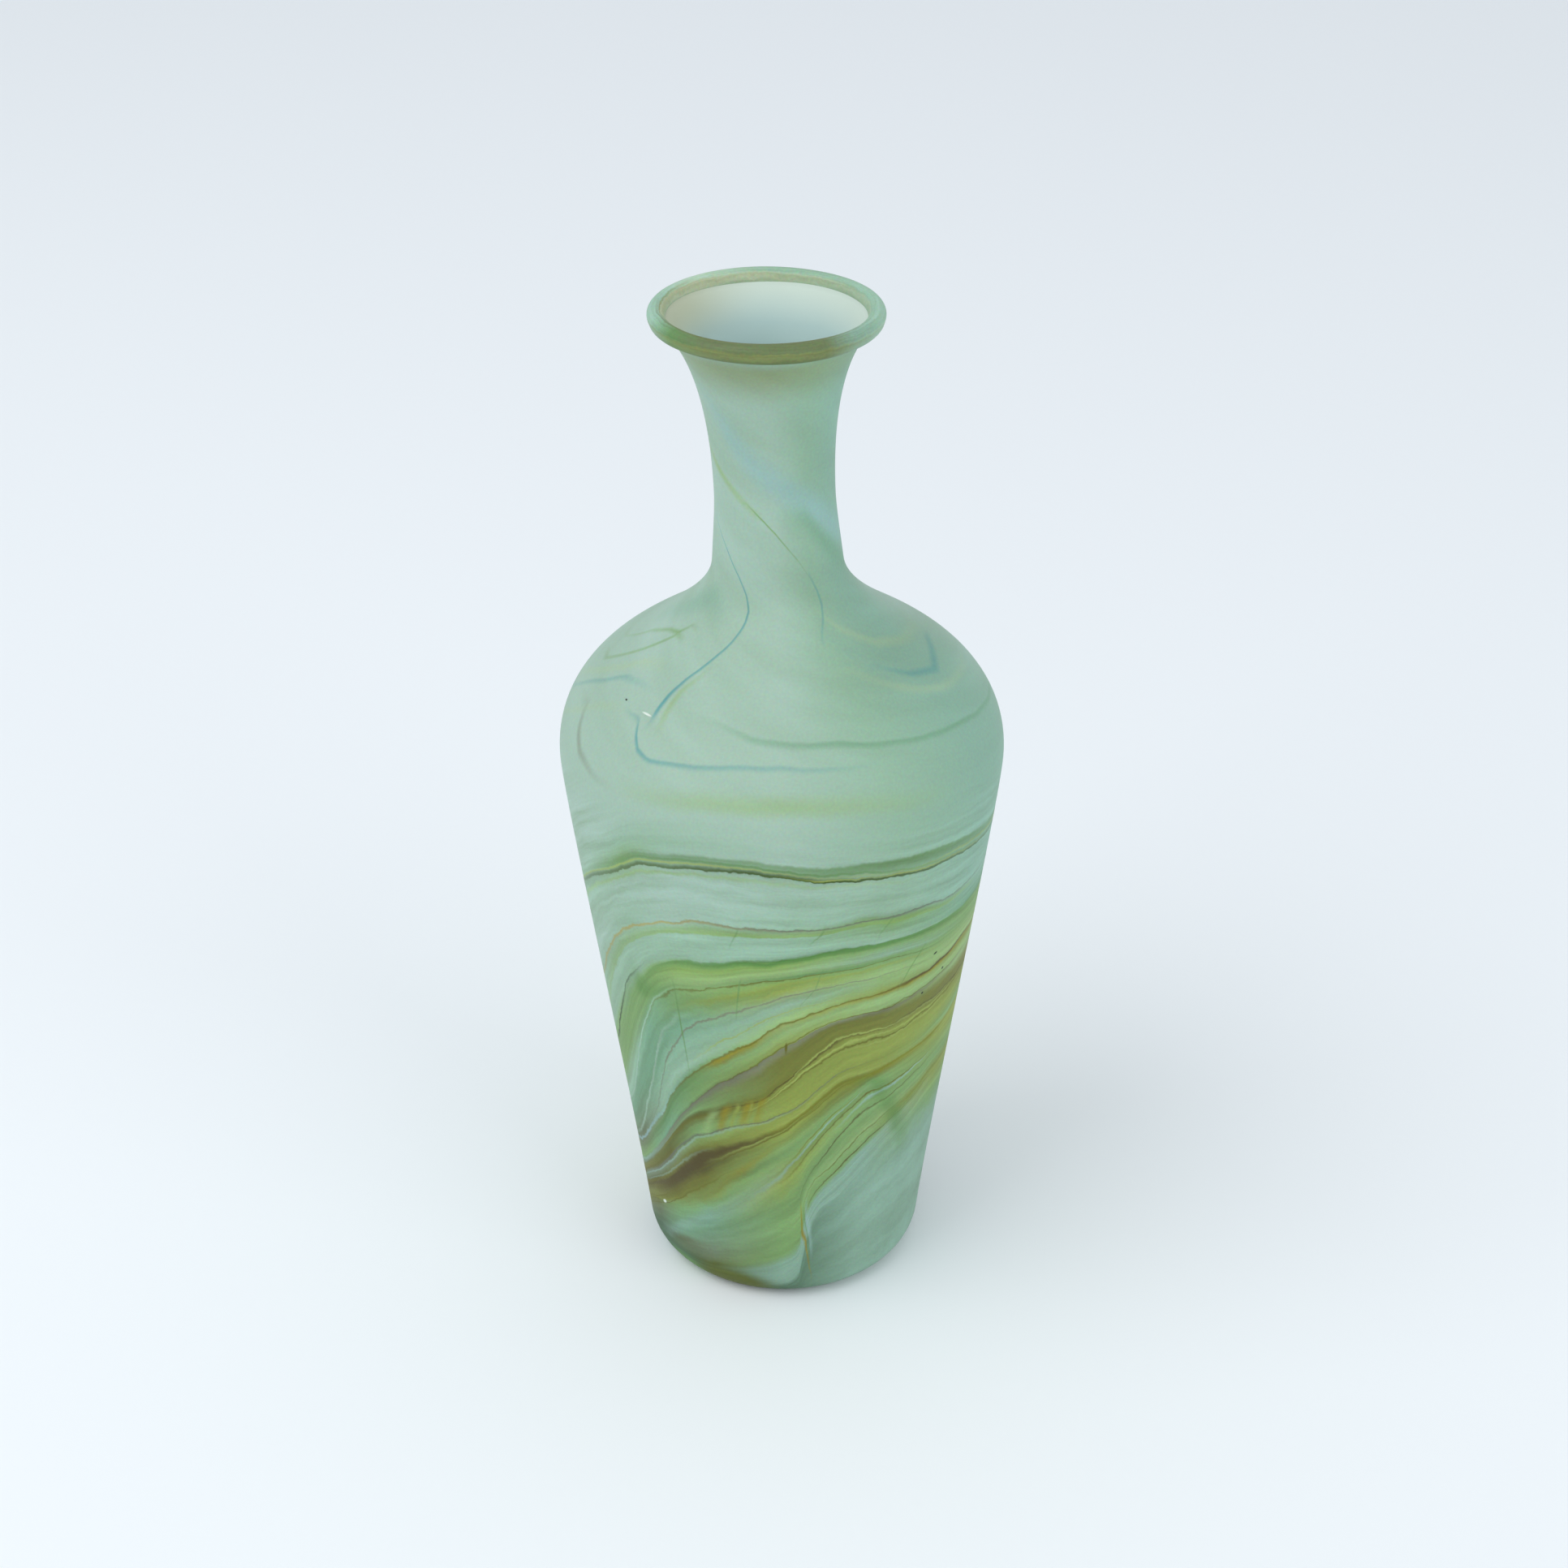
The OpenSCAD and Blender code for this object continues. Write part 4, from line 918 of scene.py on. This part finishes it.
def course_stops(across, along, course):
    """A course as ramp stops: red holds the middle of the thread, green its strength."""
    shift = {"turn": 180}
    stops = [((at + shift.get(along, 0)) / SPANS[along],
              ((mid + shift.get(across, 0)) / SPANS[across], strength**BOLDNESS, 0, 1))
             for at, mid, strength in course]
    if along == "turn" and course[-1][0] == 180:
        return [(0, stops[-1][1])] + stops
    gap = END_FADE[along] / SPANS[along]
    first, last = stops[0], stops[-1]
    before = (first[0] - gap, (first[1][0], 0, 0, 1))
    after = (last[0] + gap, (last[1][0], 0, 0, 1))
    return [before] + stops + [after]


def thread_block(name, across, along, threads):
    """A group that lays a few threads over a colour."""
    group = bpy.data.node_groups.new(name, "ShaderNodeTree")
    for socket, kind in [("Under", "Color"), ("Across", "Float"), ("Along", "Float")]:
        group.interface.new_socket(socket, in_out="INPUT", socket_type="NodeSocket" + kind)
    group.interface.new_socket("Color", in_out="OUTPUT", socket_type="NodeSocketColor")
    group.interface.new_socket("Next", in_out="OUTPUT", socket_type="NodeSocketFloat")
    painted, across_at, along_at, _ = group.nodes.new("NodeGroupInput").outputs
    g = Graph(group)
    for tint, up, down, course in threads:
        guide = g.ramp(along_at, course_stops(across, along, course))
        split = g.put("SeparateColor")
        g.join(guide, split.inputs[0])
        middle, strength, _ = split.outputs
        off = g.math("SUBTRACT", across_at, middle)
        below = g.fade(off, -down * SPREAD / SPANS[across], 0.0)
        above = g.fade(off, up * SPREAD / SPANS[across], 0.0)
        share = g.math("MULTIPLY", g.math("MULTIPLY", below, above), strength)
        painted = g.mix(share, painted, colour(tint))
        along_at = g.math("MULTIPLY_ADD", share, WAIT, along_at)
    result = group.nodes.new("NodeGroupOutput")
    g.join(painted, result.inputs[0])
    g.join(along_at, result.inputs[1])
    return group


class Pattern(Graph):
    """A node group that paints the glass from the fields stored on the points."""

    def __init__(self, name):
        self.group = bpy.data.node_groups.new(name, "ShaderNodeTree")
        self.group.interface.new_socket("Color", in_out="OUTPUT", socket_type="NodeSocketColor")
        super().__init__(self.group)
        self.place = self.field("place", "Vector")
        self.x, self.y, height = self.parts(self.place)
        front = self.math("ARCTAN2", self.x, self.math("MULTIPLY", self.y, -1.0))
        turn = self.math("MULTIPLY_ADD", front, 180 / math.pi, 180.0)
        self.fields = {}
        self.shares = {}
        self.add_field("turn", turn)
        self.add_field("height", height)
        self.colour = None

    def add_field(self, field, value):
        self.fields[field] = value
        self.shares[field] = self.math("DIVIDE", value, SPANS[field])

    def wander(self, field, steps):
        """Shift a field by noise; steps are (noise size per mm, amount)."""
        value = self.fields[field]
        for scale, amount in steps:
            shift = self.math("SUBTRACT", self.noise(self.place, scale).outputs[0], 0.5)
            value = self.math("MULTIPLY_ADD", shift, amount, value)
        self.add_field(field, value)

    def lay(self, share, tint, blend="MIX"):
        self.colour = self.mix(share, self.colour, tint, blend)

    def mottle(self, share, place, scale, detail, roughness=0.5):
        """Uneven light and dark, laid over the colour."""
        noise = self.noise(place, scale, detail, roughness).outputs[0]
        self.lay(share, self.mix(noise, MOTTLE_DARK, MOTTLE_LIGHT), "OVERLAY")

    def ground(self, palettes, field):
        """Colours by one field, shading from one palette to the next round the vase."""
        share = self.shares[field]
        ramps = {at: self.ramp(share, [(f / SPANS[field], colour(c)) for f, c in stops])
                 for at, stops in palettes.items()}
        *round_front, back = palettes
        self.colour = ramps[round_front[0]]
        for here, after in zip(round_front, round_front[1:]):
            between = self.put("MapRange")
            self.join(self.fields["turn"], between.inputs[0])
            between.inputs[1].default_value = here + 180
            between.inputs[2].default_value = after + 180
            self.lay(between.outputs[0], ramps[after])
        off_front = self.math("ABSOLUTE", self.math("SUBTRACT", self.fields["turn"], 180.0))
        self.lay(self.fade(off_front, *BACK_FROM), ramps[back])

    def threads(self, across, along, threads):
        """Lines of colour whose middle and strength each follow a course."""
        for first in range(0, len(threads), BLOCK_SIZE):
            name = f"{self.group.name}_{across}_{along}_{first}"
            block = self.put("Group", node_tree=thread_block(name, across, along,
                                                             threads[first:first + BLOCK_SIZE]))
            for value, socket in zip((self.colour, self.shares[across], self.shares[along]), block.inputs):
                self.join(value, socket)
            self.colour, self.shares[along] = block.outputs

    def speck(self, tint, field, centre, half):
        angle, at = centre
        across = self.math("MULTIPLY_ADD", self.fields["turn"], 1 / half[0], -(angle + 180) / half[0])
        along = self.math("MULTIPLY_ADD", self.fields[field], 1 / half[1], -at / half[1])
        away = self.put("VectorMath", operation="LENGTH")
        self.join(self.vector(across, along, 0.0), away.inputs[0])
        self.lay(self.fade(away.outputs["Value"], 1.3, 0.5), colour(tint))

    def streaks(self, strength, field, size, detail, roughness):
        """Fine streaks that run along lines of equal field, right round the vase."""
        slow, fast = size
        run = self.vector(self.math("MULTIPLY", self.x, slow), self.math("MULTIPLY", self.y, slow),
                          self.math("MULTIPLY", self.fields[field], fast))
        self.mottle(strength, run, 1.0, detail, roughness)

    def swirl(self, share):
        """Broad soft bands that climb the neck like the thread of a screw."""
        phase = self.math("MULTIPLY", self.fields["height"], SWIRL_TURN)
        twist = self.put("VectorRotate", rotation_type="Z_AXIS")
        self.join(self.place, twist.inputs["Vector"])
        self.join(phase, twist.inputs["Angle"])
        self.mottle(share, twist.outputs[0], SWIRL_SIZE, 2.0)

    def grain(self, strength):
        self.lay(strength, self.noise(self.place, GRAIN_SIZE, 2.0).outputs["Color"], "OVERLAY")

    def finish(self):
        self.join(self.colour, self.tree.nodes.new("NodeGroupOutput").inputs[0])
        return self.group


def glass_pattern():
    p = Pattern("glass_pattern")
    p.add_field("flow", p.field("flow"))
    p.wander("flow", FLOW_WANDER)
    p.ground(GROUND, "flow")
    p.threads("flow", "turn", THREADS)
    p.threads("turn", "flow", UPRIGHTS)
    p.wander("height", HEIGHT_WANDER)
    p.threads("height", "turn", HIGH_THREADS)
    p.threads("turn", "height", HIGH_UPRIGHTS)
    for tint, field, centre, half in SPECKS:
        p.speck(tint, field, centre, half)
    low = p.fade(p.fields["height"], *STREAKS_END_Z)
    p.streaks(p.math("MULTIPLY", low, STREAK_STRENGTH), "flow", STREAK_SIZE, 4.0, 0.65)
    p.swirl(p.math("MULTIPLY", p.fade(p.fields["height"], *SWIRL_START_Z), SWIRL_STRENGTH))
    p.grain(GRAIN_STRENGTH)
    paint_light_inside(p)
    return p.finish()


def paint_light_inside(p):
    """Painted light inside the mouth: pale, bright colours in place of light coming through the far wall,
    with a tan patch at the left.
    """
    inside = p.field("inside")
    p.lay(inside, p.ramp(p.shares["height"], INSIDE_LIGHT))
    off_left = p.math("ABSOLUTE", p.math("SUBTRACT", p.fields["turn"], 90.0))
    near_lip = p.math("MULTIPLY", p.fade(p.fields["height"], *TAN_RISE), TAN_STRENGTH)
    tan_patch = p.math("MULTIPLY", p.fade(off_left, *TAN_AROUND), near_lip)
    p.lay(p.math("MULTIPLY", tan_patch, inside), colour("tan"))


# Colour of the lip at angles round the vase
LIP_ROUND = [
    (-180, "mist"), (-140, "haze"), (-105, "jade"), (-75, "jade"), (-52, "fern"), (-30, "rim"),
    (0, "rim"), (30, "rim"), (48, "pale_teal_and_floor_light"), (72, "jade"), (110, "jade"), (150, "mist"), (180, "mist"),
]
# Threads that run round it: their middle is an angle round the roll, 0 outward and 90 upward
LIP_THREADS = [
    ("reed", 14, 50, [(-95, -35, 0.1), (-60, -36, 0.3), (-25, -38, 0.5), (10, -40, 0.5), (40, -38, 0.3),
        (80, -36, 0.1)]),
    ("bark", 14, 16, [(-95, 104, 0.1), (-65, 102, 0.45), (-30, 96, 0.35), (10, 94, 0.2), (50, 96, 0.1)]),
    ("bone", 60, 18, [(-120, 142, 0.9), (-75, 135, 0.8), (-40, 140, 0.3), (60, 150, 0.2),
        (120, 150, 0.35), (180, 150, 0.6)]),
    ("gold", 8, 8, [(-130, 118, 0.2), (-95, 122, 0.5), (-70, 120, 0.4), (-50, 115, 0.1)]),
]


def lip_pattern():
    p = Pattern("lip_pattern")
    p.add_field("roll", p.field("roll"))
    p.wander("roll", ROLL_WANDER)
    stops = [((angle + 180) / 360, colour(name)) for angle, name in LIP_ROUND]
    p.colour = p.ramp(p.shares["turn"], stops)
    p.threads("roll", "turn", LIP_THREADS)
    p.streaks(LIP_STREAK_STRENGTH, "roll", LIP_STREAK_SIZE, 3.0, 0.6)
    p.grain(LIP_GRAIN_STRENGTH)
    return p.finish()


# ---- Materials: one satin glass per slot ----

TRANSMISSION = 0.15
GLASS_IOR = 1.45
# Bump in millimetres: slow waves of the hand-blown wall and the fine etch over them
WAVE_SIZE, WAVE_HEIGHT = 0.07, 0.35
ETCH_SIZE, ETCH_HEIGHT = 1.3, 0.012
# Least and greatest roughness
SLOTS = {
    "sea_green": (0.5, 0.68), "olive": (0.48, 0.64), "fawn": (0.5, 0.66), "moss": (0.5, 0.66),
    "umber": (0.46, 0.62), "amber": (0.46, 0.62), "milk": (0.52, 0.68), "blue": (0.5, 0.66),
    "straw": (0.5, 0.66),
}
RIM_ROUGHNESS = (0.42, 0.58)


def satin_glass(name, pattern, roughness):
    material = bpy.data.materials.new(name)
    material.use_nodes = True
    g = Graph(material.node_tree)
    shader = material.node_tree.nodes["Principled BSDF"]
    shader.inputs["IOR"].default_value = GLASS_IOR
    shader.inputs["Transmission Weight"].default_value = TRANSMISSION
    paint = g.put("Group", node_tree=pattern)
    g.join(paint.outputs[0], shader.inputs["Base Color"])
    place = g.field("place", "Vector")
    etch = g.noise(place, ETCH_SIZE, 3.0, 0.6).outputs[0]
    low, high = roughness
    g.join(g.math("MULTIPLY_ADD", etch, high - low, low), shader.inputs["Roughness"])
    waves = g.noise(place, WAVE_SIZE, 1.0).outputs[0]
    surface = g.math("MULTIPLY_ADD", waves, WAVE_HEIGHT * MM, g.math("MULTIPLY", etch, ETCH_HEIGHT * MM))
    bump = g.put("Bump")
    bump.inputs["Strength"].default_value = 1.0
    bump.inputs["Distance"].default_value = 1.0
    g.join(surface, bump.inputs["Height"])
    g.join(bump.outputs[0], shader.inputs["Normal"])
    return material


glass_paint = glass_pattern()
MATERIALS = {slot: satin_glass("satin_" + slot, glass_paint, rough) for slot, rough in SLOTS.items()}
MATERIALS["rim_green"] = satin_glass("satin_rim_green", lip_pattern(), RIM_ROUGHNESS)


def finish_piece(piece, node, slot):
    piece.data.materials.append(MATERIALS[slot])
    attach(piece, "root")
    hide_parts(node)


glass_body()
lip_roll()
punty_scar()
for node, (slot, route) in TRAILS.items():
    trail(node, slot, route, closed=node == "olive_ring")


# ---- Stage: pale floor, soft light from the left, camera above the table ----

FLOOR_SIZE = 6
SKY_STRENGTH = 0.76
LENS, SENSOR = 66.24, 36
# The camera's place as shares of the vase's height, and how far it looks down
CAMERA_BACK, CAMERA_UP = 2.2912, 1.9541
CAMERA_DOWN = math.radians(32.05)


def stage_floor():
    bpy.ops.mesh.primitive_plane_add(size=FLOOR_SIZE, location=(0, 0, 0))
    floor = bpy.context.active_object
    floor.name = "floor"
    paper = bpy.data.materials.new("floor_paper")
    paper.use_nodes = True
    shader = paper.node_tree.nodes["Principled BSDF"]
    shader.inputs["Base Color"].default_value = srgb(240, 245, 248)
    shader.inputs["Roughness"].default_value = 0.9
    floor.data.materials.append(paper)


def area_light(name, place, aim, width, power):
    """A square soft light; place, aim and width in metres, power in watts."""
    lamp = bpy.data.lights.new(name, "AREA")
    lamp.shape = "SQUARE"
    lamp.size = width
    lamp.energy = power
    obj = bpy.data.objects.new(name, lamp)
    bpy.context.collection.objects.link(obj)
    obj.location = place
    obj.rotation_euler = (Vector(aim) - Vector(place)).to_track_quat("-Z", "Y").to_euler()


def studio_light():
    world = bpy.data.worlds.new("studio")
    bpy.context.scene.world = world
    world.use_nodes = True
    sky = world.node_tree.nodes["Background"]
    sky.inputs["Color"].default_value = (0.93, 0.96, 1.0, 1)
    sky.inputs["Strength"].default_value = SKY_STRENGTH
    area_light("key", (-0.9, -0.5, 1.3), (0, 0, 0.1), 1.2, 9)
    area_light("fill", (1.1, -0.9, 0.8), (0, 0, 0.12), 1.0, 4.6)


def photo_camera():
    camera = bpy.data.cameras.new("camera")
    camera.sensor_width = SENSOR
    camera.lens = LENS
    obj = bpy.data.objects.new("camera", camera)
    bpy.context.collection.objects.link(obj)
    obj.location = (0, -CAMERA_BACK * HEIGHT * MM, CAMERA_UP * HEIGHT * MM)
    obj.rotation_euler = (math.pi / 2 - CAMERA_DOWN, 0, 0)
    bpy.context.scene.camera = obj


stage_floor()
studio_light()
photo_camera()
bpy.context.scene.view_settings.view_transform = "Standard"
